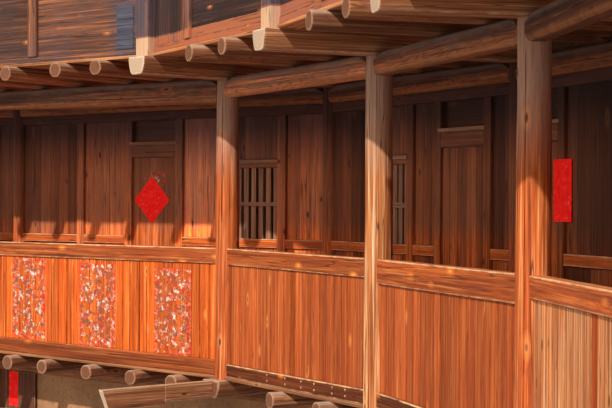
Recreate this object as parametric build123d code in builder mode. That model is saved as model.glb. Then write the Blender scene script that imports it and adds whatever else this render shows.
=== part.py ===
"""Timber gallery of a round earth building, five bays of one upper storey.

Seen from the courtyard, bays and posts count from the left. The section holds the head of
the plastered wall below, the floor that cantilevers from it, the gallery with its posts,
boarded parapet and room fronts, the ceiling joists that cantilever again, and the parapet
of the storey above. Millimetres, +Z up, +X along the middle bay, +Y away from the courtyard.
The origin lies on the ground under the middle of the middle bay, on the carrying wall line.
"""

from build123d import *
from math import atan, cos, degrees, radians, sin, sqrt, tan
import os

os.makedirs("parts", exist_ok=True)

# Plan: post centre to post centre on the front post line, and the turn at each inner post
bay_widths = [2400, 3740, 2480, 2340, 2340]
turns = [12, 24, 9.5, 11.5]
middle_bay = 2

# Depths across the gallery, measured from the front post line
storey_projection = 730  # each storey stands this far in front of the one below
gallery_depth = 1123  # front post line to room front line
floor_tail = 350  # floor frame behind the room front line
log_overhang = 120  # log ends in front of a parapet sill

# Levels
wall_head_height = 400
storey_height = 2585
parapet_height = 1017  # floor to the top of the rail
floor_settlement = [0, 0, 48, 0, 0, 0]  # how far each floor beam has sunk, and the floors on it

# Floor frame
ring_beam_depth = 162
ring_beam_width = 150
ring_beam_rounding = 48
corner_facets = 3  # flats that round each corner of a ring beam
front_beam_growth = [0, 45, 0, 0, 0]  # how much deeper a front ring beam is at its right-hand end
shoulder_length = 110
shoulder_drop = 60
joist_depth = 124
joist_diameter = 132
main_beam_depth = 146
main_beam_width = 226
main_beam_foot = 150  # width of the hewn underside
main_beam_side = 58  # upper part of its sides that stands upright
main_beam_edge = 20  # hewn edges of the sides and the underside
board_thickness = 25
board_lip = 14  # floor boards in front of the sill
board_joint = 6  # gap between the floor fields of two bays
infill_thickness = 22  # boards that close the gaps between the joists over a ring beam

# Distances of the joists from the right-hand post of each bay
floor_joist_places = [
    (480, 980, 1500, 1980),
    (490, 970, 1520, 2100, 2570, 3060, 3500),
    (600, 1350),
    (560, 1210),
    (560, 1210),
]
ceiling_joist_places = [
    (500, 1040, 1560, 2020),
    (660, 1140, 1765, 2280, 2800, 3310),
    (665, 1245),
    (550, 1205),
    (550, 1205),
]

# Front posts: hewn round, a little thinner at the head
post_foot_diameter = 204
post_head_diameter = 184
post_sides = 16
post_housing = 22  # how deep a beam or plate is let into a post
parapet_housing = 32  # how deep sills and rails are let into a front post

# Parapet
sill_heights = [128, 128, 105, 105, 105]
rail_heights = [130, 130, 135, 168, 124]
parapet_timber_width = 90
timber_edge = 8  # worn edges of sills and rails
stile_width = 84
stile_thickness = 50
parapet_board_face = 24  # face of the boards in front of the post line
parapet_panels = [3, 4, 2, 2, 2]

# Room fronts
inner_post_diameter = 160
inner_post_sides = 12
wall_timber_depth = 80
wall_foot_height = 70
wall_head_rail = 84
stud_width = 96
wall_board_thickness = 24
mid_rail_top = 1067
mid_rail_height = 80
door_width = 580
door_height = 1762  # above the foot plate
door_thickness = 36
door_play = 2
lintel_height = 120
shutter_thickness = 22
window_width = 530
window_height = 648
window_head_height = 83
room_fronts = [
    [("boards", 1.0), ("door", 0), ("boards", 1.0)],
    [("boards", 0.83), ("boards", 0.58), ("door", 0), ("boards", 0.54), ("window", 0), ("boards", 0.44)],
    [("boards", 0.63), ("window", 0), ("boards", 0.31), ("door", 0), ("boards", 0.26)],
    [("door", 0), ("boards", 1.0), ("window", 0), ("boards", 0.6)],
    [("boards", 0.5), ("door", 0), ("boards", 0.8), ("window", 0), ("boards", 0.5)],
]

# Parapet of the storey above
upper_post_width = 180
upper_post_depth = 140
upper_post_advance = 45  # post centres in front of the parapet line
upper_post_above_rail = 70
upper_sill_height = 52
upper_rail_height = 130
upper_stile_width = 110
upper_stile_thickness = 76
upper_stile_face = 60  # face of the stiles in front of the parapet line
upper_plank_thickness = 26
upper_plank_face = 36
# Distances of the upper stiles from the right-hand post of each bay
upper_stile_places = [(1150,), (1390,), (1480,), (1180,), (1180,)]

# Wall head below
wall_thickness = 240
beam_proud = 35  # ring beam in front of the plaster
lower_post_width = 150
door_frame_place = 3230  # from the right-hand post of the second bay
door_frame_width = 250

# Arm of two planks in front of the third post
arm_post = 2
arm_reach = 1235
arm_joint_reach = 640
arm_thickness = 56
arm_inner_depth = 140
arm_outer_depth = 170
arm_end_slant = 66  # how much shorter the outer plank is at its lower edge

# Values that follow from the sizes above
bays = range(len(bay_widths))
posts = range(len(bay_widths) + 1)
last_post = len(bay_widths)
half_timber = parapet_timber_width / 2
wall_line = storey_projection  # offset of the carrying wall behind the front posts
upper_line = -storey_projection
tail_offset = gallery_depth + floor_tail
lower_front = -(half_timber + log_overhang)
upper_front = upper_line + lower_front

ring_beam_level = wall_head_height
joist_level = ring_beam_level + ring_beam_depth
deck_level = joist_level + joist_depth
floor_level = deck_level + board_thickness
sill_tops = [floor_level + height for height in sill_heights]
rail_top = floor_level + parapet_height
rail_bottoms = [rail_top - height for height in rail_heights]
ceiling_beam_level = ring_beam_level + storey_height
ceiling_joist_level = joist_level + storey_height
upper_deck_level = deck_level + storey_height
upper_floor_level = floor_level + storey_height
post_head_level = upper_deck_level - main_beam_depth
upper_sill_top = upper_floor_level + upper_sill_height
upper_rail_top = rail_top + storey_height
upper_rail_bottom = upper_rail_top - upper_rail_height
wall_foot_top = floor_level + wall_foot_height
wall_head_bottom = ceiling_beam_level - wall_head_rail
mid_rail_level = floor_level + mid_rail_top
window_top = mid_rail_level + window_height
door_top = wall_foot_top + door_height
lintel_top = door_top + lintel_height


def along(heading):
    """Unit vector to the right along a line with this heading."""
    return Vector(cos(radians(heading)), -sin(radians(heading)), 0)


def away(heading):
    """Unit vector away from the courtyard, square to a line with this heading."""
    return Vector(sin(radians(heading)), cos(radians(heading)), 0)


headings = [sum(turns[:bay]) - sum(turns[:middle_bay]) for bay in bays]
half_turns = [0] + [turn / 2 for turn in turns] + [0]
post_headings = [headings[min(post, last_post - 1)] - half_turns[post] for post in posts]


def post_points():
    """Post centres on the front line, with the middle bay centred on the origin."""
    left = Vector(-bay_widths[middle_bay] / 2, -wall_line, 0)
    for bay in range(middle_bay):
        left -= along(headings[bay]) * bay_widths[bay]
    points = [left]
    for bay in bays:
        points.append(points[-1] + along(headings[bay]) * bay_widths[bay])
    return points


front_points = post_points()


def start(bay, offset):
    """Distance along a bay, from its left post, where the line at this offset begins."""
    return -offset * tan(radians(half_turns[bay]))


def finish(bay, offset):
    """Distance along a bay, from its left post, where the line at this offset ends."""
    return bay_widths[bay] + offset * tan(radians(half_turns[bay + 1]))


def at_bay(bay, distance, offset, level):
    """Point in a bay: distance to the right of its left post, offset away from the courtyard."""
    heading = headings[bay]
    return front_points[bay] + along(heading) * distance + away(heading) * offset + Vector(0, 0, level)


def sunk(bay, distance):
    """How far the floor of a bay has sunk at this distance from its left post."""
    left, right = floor_settlement[bay : bay + 2]
    return left + (right - left) * distance / bay_widths[bay]


def step(bay, length, settled):
    """Way along a bay that reaches this level length: level itself, or rising with the settled floor."""
    rise = settled * (sunk(bay, 0) - sunk(bay, length))
    return along(headings[bay]) * length + Vector(0, 0, rise)


def plan_plane(bay, distance, offset, level):
    """Level plane in a bay, x to the right, y away from the courtyard."""
    return Plane(at_bay(bay, distance, offset, level), x_dir=along(headings[bay]), z_dir=(0, 0, 1))


def floor_plane(bay, level):
    """Plane of the settled floor of a bay at its left post, x to the right along the floor."""
    corner = at_bay(bay, 0, 0, level - sunk(bay, 0))
    slope = step(bay, bay_widths[bay], True)
    return Plane(corner, x_dir=slope, z_dir=slope.cross(away(headings[bay])))


def end_plane(bay, distance, offset, level, settled=False):
    """Upright plane across a bay, x away from the courtyard, y up, facing right."""
    centre = at_bay(bay, distance, offset, level - settled * sunk(bay, distance))
    return Plane(centre, x_dir=away(headings[bay]), z_dir=along(headings[bay]))


def log_plane(bay, distance, offset, level):
    """Upright plane along a bay, x to the right, y up, facing the courtyard."""
    return Plane(at_bay(bay, distance, offset, level), x_dir=along(headings[bay]), z_dir=-away(headings[bay]))


def at_post(post, offset, level):
    """Point on the line through a post that halves the turn there."""
    reach = offset / cos(radians(half_turns[post]))
    return front_points[post] + away(post_headings[post]) * reach + Vector(0, 0, level)


def post_plane(post, offset, level):
    """Level plane at a post, x to the right, y away from the courtyard."""
    return Plane(at_post(post, offset, level), x_dir=along(post_headings[post]), z_dir=(0, 0, 1))


def post_log_plane(post, offset, level):
    """Upright plane at a post, x to the right, y up, facing the courtyard."""
    heading = post_headings[post]
    return Plane(at_post(post, offset, level), x_dir=along(heading), z_dir=-away(heading))


def export(piece, name):
    """Writes a finished piece under its own name."""
    piece.part.label = name
    export_step(piece.part, f"parts/{name}.step")


def draw_main_beam():
    """Section of a radial beam: flat top, sides that draw in, hewn edges."""
    Polygon(
        (-main_beam_width / 2, main_beam_depth),
        (-main_beam_width / 2, main_beam_depth - main_beam_side),
        (-main_beam_foot / 2, 0),
        (main_beam_foot / 2, 0),
        (main_beam_width / 2, main_beam_depth - main_beam_side),
        (main_beam_width / 2, main_beam_depth),
        align=None,
    )
    chamfer(vertices().sort_by(Axis.Y)[:4], main_beam_edge)


def draw_joist():
    """Section of a joist: a log hewn flat above and below, twelve-sided in all."""
    radius = joist_diameter / 2
    flat = sqrt(radius**2 - (joist_depth / 2) ** 2)
    quarter = [(radius * cos(radians(angle)), radius * sin(radians(angle))) for angle in (15, 45)]
    quarter.append((flat, joist_depth / 2))
    left = [(-x, y) for x, y in reversed(quarter)]
    Polygon(*quarter, *left, *[(-x, -y) for x, y in quarter], *[(-x, -y) for x, y in left], align=None)


def draw_ring_beam(growth):
    """Section of a ring beam, deeper by its growth: upright sides, corners rounded by narrow flats."""
    x = ring_beam_width / 2 - ring_beam_rounding
    y = ring_beam_depth / 2 - ring_beam_rounding
    corner = [radians(90 * facet / corner_facets) for facet in range(corner_facets + 1)]
    quarter = [(x + ring_beam_rounding * cos(turn), y + ring_beam_rounding * sin(turn)) for turn in corner]
    top = quarter + [(-x, y) for x, y in reversed(quarter)]
    Polygon(*top, *[(-x, -y - growth) for x, y in top], align=None)


def lay_ring_beams(offset, level, inset, growths, settled=False):
    """One log between each two posts, its upper edge cut back to a shoulder at both ends."""
    for bay in bays:
        left = start(bay, offset) + inset
        length = finish(bay, offset) - inset - left
        beam = step(bay, length, settled)
        centre = at_bay(bay, left, offset, level + ring_beam_depth / 2 - settled * sunk(bay, left))
        with BuildSketch(Plane(centre, x_dir=away(headings[bay]), z_dir=beam)) as left_end:
            draw_ring_beam(0)
        with BuildSketch(Plane(centre + beam, x_dir=away(headings[bay]), z_dir=beam)) as right_end:
            draw_ring_beam(growths[bay])
        loft([left_end.sketch, right_end.sketch], ruled=True)
        top_corner = at_bay(bay, left, offset, level + ring_beam_depth - settled * sunk(bay, left))
        with BuildSketch(Plane(top_corner, x_dir=beam, z_dir=-away(headings[bay]))) as shoulders:
            Polygon((0, 0), (0, -shoulder_drop), (shoulder_length, 0), align=None)
            Polygon((length, 0), (length - shoulder_length, 0), (length, -shoulder_drop), align=None)
        extrude(shoulders.sketch, amount=ring_beam_width, both=True, mode=Mode.SUBTRACT)


def lay_main_beams(front, level, settled=False):
    """One radial beam on each post line, from its front end to the tail."""
    for post in posts:
        reach = (tail_offset - front) / cos(radians(half_turns[post]))
        beam_level = level - settled * floor_settlement[post]
        with BuildSketch(post_log_plane(post, tail_offset, beam_level)) as section:
            draw_main_beam()
        extrude(section.sketch, amount=reach)


def lay_joists(places, front, level, settled=False):
    """Joists square to each bay, at distances from its right-hand post."""
    for bay in bays:
        for place in places[bay]:
            distance = bay_widths[bay] - place
            centre_level = level + joist_depth / 2 - settled * sunk(bay, distance)
            with BuildSketch(log_plane(bay, distance, tail_offset, centre_level)) as section:
                draw_joist()
            extrude(section.sketch, amount=tail_offset - front)


def lay_floor(front, level, settled=False):
    """One field of floor boards for each bay, from its front lip to the tail."""
    for bay in bays:
        gap = board_joint / 2
        corners = [
            (start(bay, front) + gap, front),
            (finish(bay, front) - gap, front),
            (finish(bay, tail_offset) - gap, tail_offset),
            (start(bay, tail_offset) + gap, tail_offset),
        ]
        with BuildSketch(floor_plane(bay, level) if settled else plan_plane(bay, 0, 0, level)) as field:
            Polygon(*corners, align=None)
        extrude(field.sketch, amount=board_thickness, dir=(0, 0, 1))


def lay_timbers(offset, level, heights, width, inset, edge, settled=False):
    """Straight timbers under or on a level between the posts of each bay, with worn long edges."""
    for bay in bays:
        left = start(bay, offset) + inset
        centre_level = level + heights[bay] / 2
        with BuildSketch(end_plane(bay, left, offset, centre_level, settled)) as section:
            Rectangle(width, abs(heights[bay]))
            chamfer(vertices(), edge)
        timber = step(bay, finish(bay, offset) - inset - left, settled)
        extrude(section.sketch, amount=timber.length, dir=timber.normalized())


def upright(bay, left, right, low, high, face, thickness, on_floor=False):
    """Upright slab in a bay: left to right, low to high, from its face away from the courtyard."""
    with BuildSketch(log_plane(bay, left, face + thickness, 0)) as outline:
        Polygon(
            (0, low - on_floor * sunk(bay, left)),
            (right - left, low - on_floor * sunk(bay, right)),
            (right - left, high),
            (0, high),
            align=None,
        )
    extrude(outline.sketch, amount=thickness)


# Wall head of the storey below
wall_face = wall_line - ring_beam_width / 2 + beam_proud
wall_back = wall_face + wall_thickness
door_frame_left = bay_widths[1] - door_frame_place - door_frame_width / 2
door_frame_right = door_frame_left + door_frame_width


def wall_side(bay, offset, end):
    """Where the plaster of a bay stops beside a lower post, on the line at this offset."""
    if end == "left":
        return start(bay, offset) + lower_post_width / 2 / cos(radians(half_turns[bay]))
    return finish(bay, offset) - lower_post_width / 2 / cos(radians(half_turns[bay + 1]))


no_growth = [0 for bay in bays]

with BuildPart() as lower_ring_beams:
    lay_ring_beams(wall_line, ring_beam_level, lower_post_width / 2 - post_housing, no_growth, settled=True)
export(lower_ring_beams, "lower_ring_beams")

with BuildPart() as lower_posts:
    for post in posts:
        post_depth = (wall_back - (wall_line - ring_beam_width / 2)) / cos(radians(half_turns[post]))
        with BuildSketch(post_plane(post, wall_line - ring_beam_width / 2, 0)):
            Rectangle(lower_post_width, post_depth, align=(Align.CENTER, Align.MIN))
        extrude(amount=deck_level - main_beam_depth - floor_settlement[post])
    add(lower_ring_beams.part, mode=Mode.SUBTRACT)
export(lower_posts, "lower_posts")

with BuildPart() as lower_door_frame:
    upright(
        1, door_frame_left, door_frame_right, 0, wall_head_height,
        wall_line - ring_beam_width / 2, ring_beam_width,
    )
    add(lower_ring_beams.part, mode=Mode.SUBTRACT)
export(lower_door_frame, "lower_door_frame")

with BuildPart() as lower_door_boards:
    with BuildSketch(plan_plane(1, 0, 0, 0)):
        Polygon(
            (wall_side(1, wall_line, "left"), wall_line),
            (door_frame_left, wall_line),
            (door_frame_left, wall_line + door_thickness),
            (wall_side(1, wall_line + door_thickness, "left"), wall_line + door_thickness),
            align=None,
        )
    extrude(amount=wall_head_height)
    add(lower_ring_beams.part, mode=Mode.SUBTRACT)
export(lower_door_boards, "lower_door_boards")

with BuildPart() as lower_wall:
    for bay in bays:
        left_face = door_frame_right if bay == 1 else wall_side(bay, wall_face, "left")
        left_back = door_frame_right if bay == 1 else wall_side(bay, wall_back, "left")
        with BuildSketch(plan_plane(bay, 0, 0, 0)):
            Polygon(
                (left_face, wall_face),
                (wall_side(bay, wall_face, "right"), wall_face),
                (wall_side(bay, wall_back, "right"), wall_back),
                (left_back, wall_back),
                align=None,
            )
        extrude(amount=wall_head_height)
    add(lower_ring_beams.part, mode=Mode.SUBTRACT)
export(lower_wall, "lower_wall")

# Floor frame of the gallery
with BuildPart() as floor_main_beams:
    lay_main_beams(lower_front, deck_level - main_beam_depth, settled=True)
    add(lower_ring_beams.part, mode=Mode.SUBTRACT)
export(floor_main_beams, "floor_main_beams")

with BuildPart() as floor_boards:
    lay_floor(-(half_timber + board_lip), deck_level, settled=True)
    add(floor_main_beams.part, mode=Mode.SUBTRACT)
    for post in posts:
        with BuildSketch(post_plane(post, 0, deck_level)):
            RegularPolygon(post_foot_diameter / 2, post_sides)
        with BuildSketch(post_plane(post, gallery_depth, deck_level)):
            RegularPolygon(inner_post_diameter / 2, inner_post_sides)
        extrude(amount=board_thickness + max(floor_settlement), both=True, mode=Mode.SUBTRACT)
export(floor_boards, "floor_boards")

with BuildPart() as floor_joists:
    lay_joists(floor_joist_places, lower_front, joist_level, settled=True)
    add(floor_boards.part, mode=Mode.SUBTRACT)
    add(lower_ring_beams.part, mode=Mode.SUBTRACT)
export(floor_joists, "floor_joists")


def close_over_beams(offset, level, ring_beams, joists, main_beams, inset, settled):
    """Boards on edge over the ring beams, cut to the logs, so that no gap stays between the joists."""
    for bay in bays:
        left = start(bay, offset) + inset
        right = finish(bay, offset) - inset
        with BuildSketch(log_plane(bay, left, offset + infill_thickness / 2, 0)) as outline:
            Polygon(
                (0, level - shoulder_drop - settled * sunk(bay, left)),
                (right - left, level - shoulder_drop - settled * sunk(bay, right)),
                (right - left, level + joist_depth - settled * sunk(bay, right)),
                (0, level + joist_depth - settled * sunk(bay, left)),
                align=None,
            )
        extrude(outline.sketch, amount=infill_thickness)
    for timbers in (ring_beams, joists, main_beams):
        add(timbers.part, mode=Mode.SUBTRACT)


with BuildPart() as floor_infill:
    close_over_beams(
        wall_line, joist_level, lower_ring_beams, floor_joists, floor_main_beams,
        lower_post_width / 2, True,
    )
    add(lower_posts.part, mode=Mode.SUBTRACT)
export(floor_infill, "floor_infill")

# Parapet of the gallery
rail_inset = post_foot_diameter / 2 - parapet_housing

with BuildPart() as parapet_sills:
    lay_timbers(0, floor_level, sill_heights, parapet_timber_width, rail_inset, timber_edge, settled=True)
    add(floor_main_beams.part, mode=Mode.SUBTRACT)
export(parapet_sills, "parapet_sills")

with BuildPart() as parapet_rails:
    below = [-height for height in rail_heights]
    lay_timbers(0, rail_top, below, parapet_timber_width, rail_inset, timber_edge)
export(parapet_rails, "parapet_rails")


def panel_edges(bay):
    """Left and right ends of the board panels of a bay, between its stiles."""
    count = parapet_panels[bay]
    first = rail_inset
    clear = bay_widths[bay] - 2 * rail_inset - (count - 1) * stile_width
    panel = clear / count
    return [
        (first + index * (panel + stile_width), first + index * (panel + stile_width) + panel)
        for index in range(count)
    ]


with BuildPart() as parapet_stiles:
    for bay in bays:
        for left, right in panel_edges(bay)[:-1]:
            upright(
                bay, right, right + stile_width, sill_tops[bay], rail_bottoms[bay],
                -stile_thickness / 2, stile_thickness, on_floor=True,
            )
export(parapet_stiles, "parapet_stiles")

parapet_boards = []
for bay in bays:
    with BuildPart() as boards:
        for left, right in panel_edges(bay):
            upright(
                bay, left, right, sill_tops[bay], rail_bottoms[bay],
                -parapet_board_face, board_thickness, on_floor=True,
            )
    parapet_boards.append(boards)
    export(boards, f"parapet_boards_{bay + 1}")

# Ring beams under the ceiling, let into the posts
with BuildPart() as front_ring_beams:
    lay_ring_beams(0, ceiling_beam_level, post_head_diameter / 2 - post_housing, front_beam_growth)
export(front_ring_beams, "front_ring_beams")

with BuildPart() as inner_ring_beams:
    lay_ring_beams(gallery_depth, ceiling_beam_level, inner_post_diameter / 2 - post_housing, no_growth)
export(inner_ring_beams, "inner_ring_beams")

# Front posts, each on the end of a floor beam
beam_tops = [deck_level - settlement for settlement in floor_settlement]
post_heights = [post_head_level - beam_top for beam_top in beam_tops]
for post in posts:
    post_taper = degrees(atan((post_foot_diameter - post_head_diameter) / 2 / post_heights[post]))
    with BuildPart() as front_post:
        with BuildSketch(post_plane(post, 0, beam_tops[post])):
            RegularPolygon(post_foot_diameter / 2, post_sides)
        extrude(amount=post_heights[post], taper=post_taper)
        add(parapet_sills.part, mode=Mode.SUBTRACT)
        add(parapet_rails.part, mode=Mode.SUBTRACT)
        add(front_ring_beams.part, mode=Mode.SUBTRACT)
        for bay in (post - 1, post):
            if bay in bays:
                add(parapet_boards[bay].part, mode=Mode.SUBTRACT)
    export(front_post, f"front_post_{post + 1}")

# Room fronts
plate_inset = inner_post_diameter / 2 - post_housing
timber_face = gallery_depth - wall_timber_depth / 2
board_face = gallery_depth - wall_board_thickness / 2
door_face = gallery_depth - door_thickness / 2
set_back_face = timber_face + wall_timber_depth - wall_board_thickness  # flush with the room side

with BuildPart() as wall_foot_plates:
    for bay in bays:
        upright(
            bay, start(bay, gallery_depth) + plate_inset, finish(bay, gallery_depth) - plate_inset,
            floor_level, wall_foot_top, timber_face, wall_timber_depth, on_floor=True,
        )
    add(floor_main_beams.part, mode=Mode.SUBTRACT)
export(wall_foot_plates, "wall_foot_plates")

with BuildPart() as wall_head_rails:
    for bay in bays:
        upright(
            bay, start(bay, gallery_depth) + plate_inset, finish(bay, gallery_depth) - plate_inset,
            wall_head_bottom, ceiling_beam_level, timber_face, wall_timber_depth,
        )
export(wall_head_rails, "wall_head_rails")


def wall_fields(bay):
    """Kind, left and right of each field of a room front; boarded fields share what is left."""
    left = start(bay, gallery_depth) + plate_inset
    right = finish(bay, gallery_depth) - plate_inset
    plan = room_fronts[bay]
    fixed = {"door": door_width, "window": window_width}
    spare = right - left - stud_width * (len(plan) - 1) - sum(fixed.get(kind, 0) for kind, share in plan)
    shares = sum(share for kind, share in plan)
    fields = []
    for kind, share in plan:
        width = fixed.get(kind, spare * share / shares)
        fields.append((kind, left, left + width))
        left += width + stud_width
    return fields


with BuildPart() as wall_studs:
    for bay in bays:
        for kind, left, right in wall_fields(bay)[:-1]:
            upright(
                bay, right, right + stud_width, wall_foot_top, wall_head_bottom,
                timber_face, wall_timber_depth,
            )
export(wall_studs, "wall_studs")

with BuildPart() as wall_mid_rails:
    for bay in bays:
        for kind, left, right in wall_fields(bay):
            if kind != "door":
                upright(
                    bay, left, right, mid_rail_level - mid_rail_height, mid_rail_level,
                    timber_face, wall_timber_depth,
                )
export(wall_mid_rails, "wall_mid_rails")

with BuildPart() as window_heads:
    for bay in bays:
        for kind, left, right in wall_fields(bay):
            if kind == "window":
                upright(
                    bay, left, right, window_top, window_top + window_head_height,
                    timber_face, wall_timber_depth,
                )
export(window_heads, "window_heads")

with BuildPart() as window_shutters:
    for bay in bays:
        for kind, left, right in wall_fields(bay):
            if kind == "window":
                upright(
                    bay, left, right, mid_rail_level, window_top,
                    timber_face + wall_timber_depth - shutter_thickness, shutter_thickness,
                )
export(window_shutters, "window_shutters")

with BuildPart() as door_lintels:
    for bay in bays:
        for kind, left, right in wall_fields(bay):
            if kind == "door":
                upright(bay, left, right, door_top, lintel_top, timber_face, wall_timber_depth)
export(door_lintels, "door_lintels")

with BuildPart() as door_leaves:
    for bay in bays:
        for kind, left, right in wall_fields(bay):
            if kind == "door":
                upright(
                    bay, left + door_play, right - door_play, wall_foot_top, door_top - door_play,
                    door_face, door_thickness,
                )
export(door_leaves, "door_leaves")

wall_boards = []
for bay in bays:
    with BuildPart() as boards:
        for kind, left, right in wall_fields(bay):
            low, high = {
                "boards": (mid_rail_level, wall_head_bottom),
                "window": (window_top + window_head_height, wall_head_bottom),
                "door": (lintel_top, wall_head_bottom),
            }[kind]
            face = set_back_face if kind == "door" else board_face
            upright(bay, left, right, low, high, face, wall_board_thickness)
            if kind != "door":
                upright(
                    bay, left, right, wall_foot_top, mid_rail_level - mid_rail_height,
                    board_face, wall_board_thickness,
                )
    wall_boards.append(boards)
    export(boards, f"wall_boards_{bay + 1}")

with BuildPart() as inner_posts:
    for post in posts:
        with BuildSketch(post_plane(post, gallery_depth, beam_tops[post])):
            RegularPolygon(inner_post_diameter / 2, inner_post_sides)
        extrude(amount=post_heights[post])
    add(wall_foot_plates.part, mode=Mode.SUBTRACT)
    add(wall_head_rails.part, mode=Mode.SUBTRACT)
    add(wall_mid_rails.part, mode=Mode.SUBTRACT)
    add(inner_ring_beams.part, mode=Mode.SUBTRACT)
    add(door_leaves.part, mode=Mode.SUBTRACT)
    add(door_lintels.part, mode=Mode.SUBTRACT)
    for boards in wall_boards:
        add(boards.part, mode=Mode.SUBTRACT)
export(inner_posts, "inner_posts")

# Ceiling frame, which carries the storey above
with BuildPart() as ceiling_main_beams:
    lay_main_beams(upper_front, post_head_level)
export(ceiling_main_beams, "ceiling_main_beams")

with BuildPart() as ceiling_joists:
    lay_joists(ceiling_joist_places, upper_front, ceiling_joist_level)
export(ceiling_joists, "ceiling_joists")

with BuildPart() as ceiling_infill:
    close_over_beams(
        gallery_depth, ceiling_joist_level, inner_ring_beams, ceiling_joists, ceiling_main_beams,
        plate_inset, False,
    )
    add(inner_posts.part, mode=Mode.SUBTRACT)
export(ceiling_infill, "ceiling_infill")

upper_inset = upper_post_width / 2 - post_housing
upper_sill_heights = [upper_sill_height for bay in bays]
upper_rail_heights = [upper_rail_height for bay in bays]

with BuildPart() as upper_sills:
    lay_timbers(
        upper_line, upper_floor_level, upper_sill_heights, parapet_timber_width, upper_inset, timber_edge,
    )
export(upper_sills, "upper_sills")

with BuildPart() as upper_rails:
    lay_timbers(
        upper_line, upper_rail_bottom, upper_rail_heights, parapet_timber_width, upper_inset, timber_edge,
    )
export(upper_rails, "upper_rails")


def upper_edges(bay):
    """Left and right ends of the plank panels of a bay of the upper parapet."""
    left = start(bay, upper_line) + upper_inset
    edges = []
    for place in sorted(upper_stile_places[bay], reverse=True):
        stile_left = finish(bay, upper_line) - place - upper_stile_width / 2
        edges.append((left, stile_left))
        left = stile_left + upper_stile_width
    edges.append((left, finish(bay, upper_line) - upper_inset))
    return edges


with BuildPart() as upper_stiles:
    for bay in bays:
        for left, right in upper_edges(bay)[:-1]:
            upright(
                bay, right, right + upper_stile_width, upper_sill_top, upper_rail_bottom,
                upper_line - upper_stile_face, upper_stile_thickness,
            )
export(upper_stiles, "upper_stiles")

with BuildPart() as upper_planks:
    for bay in bays:
        for left, right in upper_edges(bay):
            upright(
                bay, left, right, upper_sill_top, upper_rail_bottom,
                upper_line - upper_plank_face, upper_plank_thickness,
            )
export(upper_planks, "upper_planks")

with BuildPart() as upper_posts:
    for post in posts:
        with BuildSketch(post_plane(post, upper_line - upper_post_advance, upper_deck_level)):
            Rectangle(upper_post_width, upper_post_depth)
    extrude(amount=upper_rail_top + upper_post_above_rail - upper_deck_level)
    add(upper_sills.part, mode=Mode.SUBTRACT)
    add(upper_rails.part, mode=Mode.SUBTRACT)
    add(upper_planks.part, mode=Mode.SUBTRACT)
export(upper_posts, "upper_posts")

with BuildPart() as upper_floor_boards:
    lay_floor(upper_line - half_timber - board_lip, upper_deck_level)
    add(upper_posts.part, mode=Mode.SUBTRACT)
export(upper_floor_boards, "upper_floor_boards")

# Arm of two planks on the end of a floor beam
arm_start = -lower_front / cos(radians(half_turns[arm_post]))
arm_top = beam_tops[arm_post]

with BuildPart() as arm_inner_plank:
    with BuildSketch(post_log_plane(arm_post, lower_front, arm_top)):
        Rectangle(arm_thickness, arm_inner_depth, align=(Align.CENTER, Align.MAX))
    extrude(amount=arm_joint_reach - arm_start)
export(arm_inner_plank, "arm_inner_plank")

with BuildPart() as arm_outer_plank:
    arm_length = arm_reach - arm_joint_reach
    arm_joint = at_post(arm_post, -arm_joint_reach * cos(radians(half_turns[arm_post])), arm_top)
    side = Plane(arm_joint, x_dir=-away(post_headings[arm_post]), z_dir=-along(post_headings[arm_post]))
    with BuildSketch(side):
        Polygon(
            (0, 0),
            (arm_length, 0),
            (arm_length - arm_end_slant, -arm_outer_depth),
            (0, -arm_outer_depth),
            align=None,
        )
    extrude(amount=arm_thickness / 2, both=True)
export(arm_outer_plank, "arm_outer_plank")
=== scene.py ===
import bpy
import math
import numpy as np
from mathutils import Matrix, Vector


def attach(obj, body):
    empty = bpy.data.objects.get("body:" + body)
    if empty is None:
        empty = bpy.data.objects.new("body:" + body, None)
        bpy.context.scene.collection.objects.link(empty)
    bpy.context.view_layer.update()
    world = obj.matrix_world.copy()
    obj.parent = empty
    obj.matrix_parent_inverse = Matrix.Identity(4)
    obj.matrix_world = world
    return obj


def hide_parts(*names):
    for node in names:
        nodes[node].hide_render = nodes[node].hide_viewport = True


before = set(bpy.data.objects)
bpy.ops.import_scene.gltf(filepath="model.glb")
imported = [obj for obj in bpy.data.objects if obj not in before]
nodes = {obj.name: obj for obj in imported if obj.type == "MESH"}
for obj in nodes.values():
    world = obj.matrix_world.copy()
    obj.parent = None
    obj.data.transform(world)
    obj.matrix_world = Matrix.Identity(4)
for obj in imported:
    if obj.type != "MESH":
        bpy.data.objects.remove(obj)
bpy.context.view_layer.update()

# Plan and levels of the section in metres; bays and posts count from the left, seen from the courtyard
gallery = {
    "bayWidths": (2.400, 3.740, 2.480, 2.340, 2.340),
    "headings": (-36.0, -24.0, 0.0, 9.5, 21.0),
    "halfTurns": (0.0, 6.0, 12.0, 4.75, 5.75, 0.0),
    "middleBay": 2,
    "sunk": (0.0, 0.0, 0.048, 0.0, 0.0, 0.0),  # how far each floor beam has sunk, and the floors on it
    "projection": 0.730,
    "roomLine": 1.123,
    "tail": 1.473,
    "logOverhang": 0.120,
    "storey": 2.585,
}
level = {
    "beam": 0.400, "mainBeam": 0.540, "joist": 0.562, "deck": 0.686, "floor": 0.711, "railTop": 1.728,
    "postHead": 3.125, "footTop": 0.781, "headRail": 2.901, "midRail": 1.778, "windowTop": 2.426, "windowHead": 2.509,
    "doorTop": 2.543, "lintelTop": 2.663, "ceilingBeam": 2.985, "ceilingJoist": 3.147, "upperDeck": 3.271,
    "upperFloor": 3.296, "upperSillTop": 3.348, "upperRailBottom": 4.183, "upperRailTop": 4.313, "upperPostTop": 4.383,
}
bays = range(5)
posts = range(6)


def alongLine(heading):
    turn = math.radians(heading)
    return np.array([math.cos(turn), -math.sin(turn), 0.0])


def awayFrom(heading):
    turn = math.radians(heading)
    return np.array([math.sin(turn), math.cos(turn), 0.0])


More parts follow.
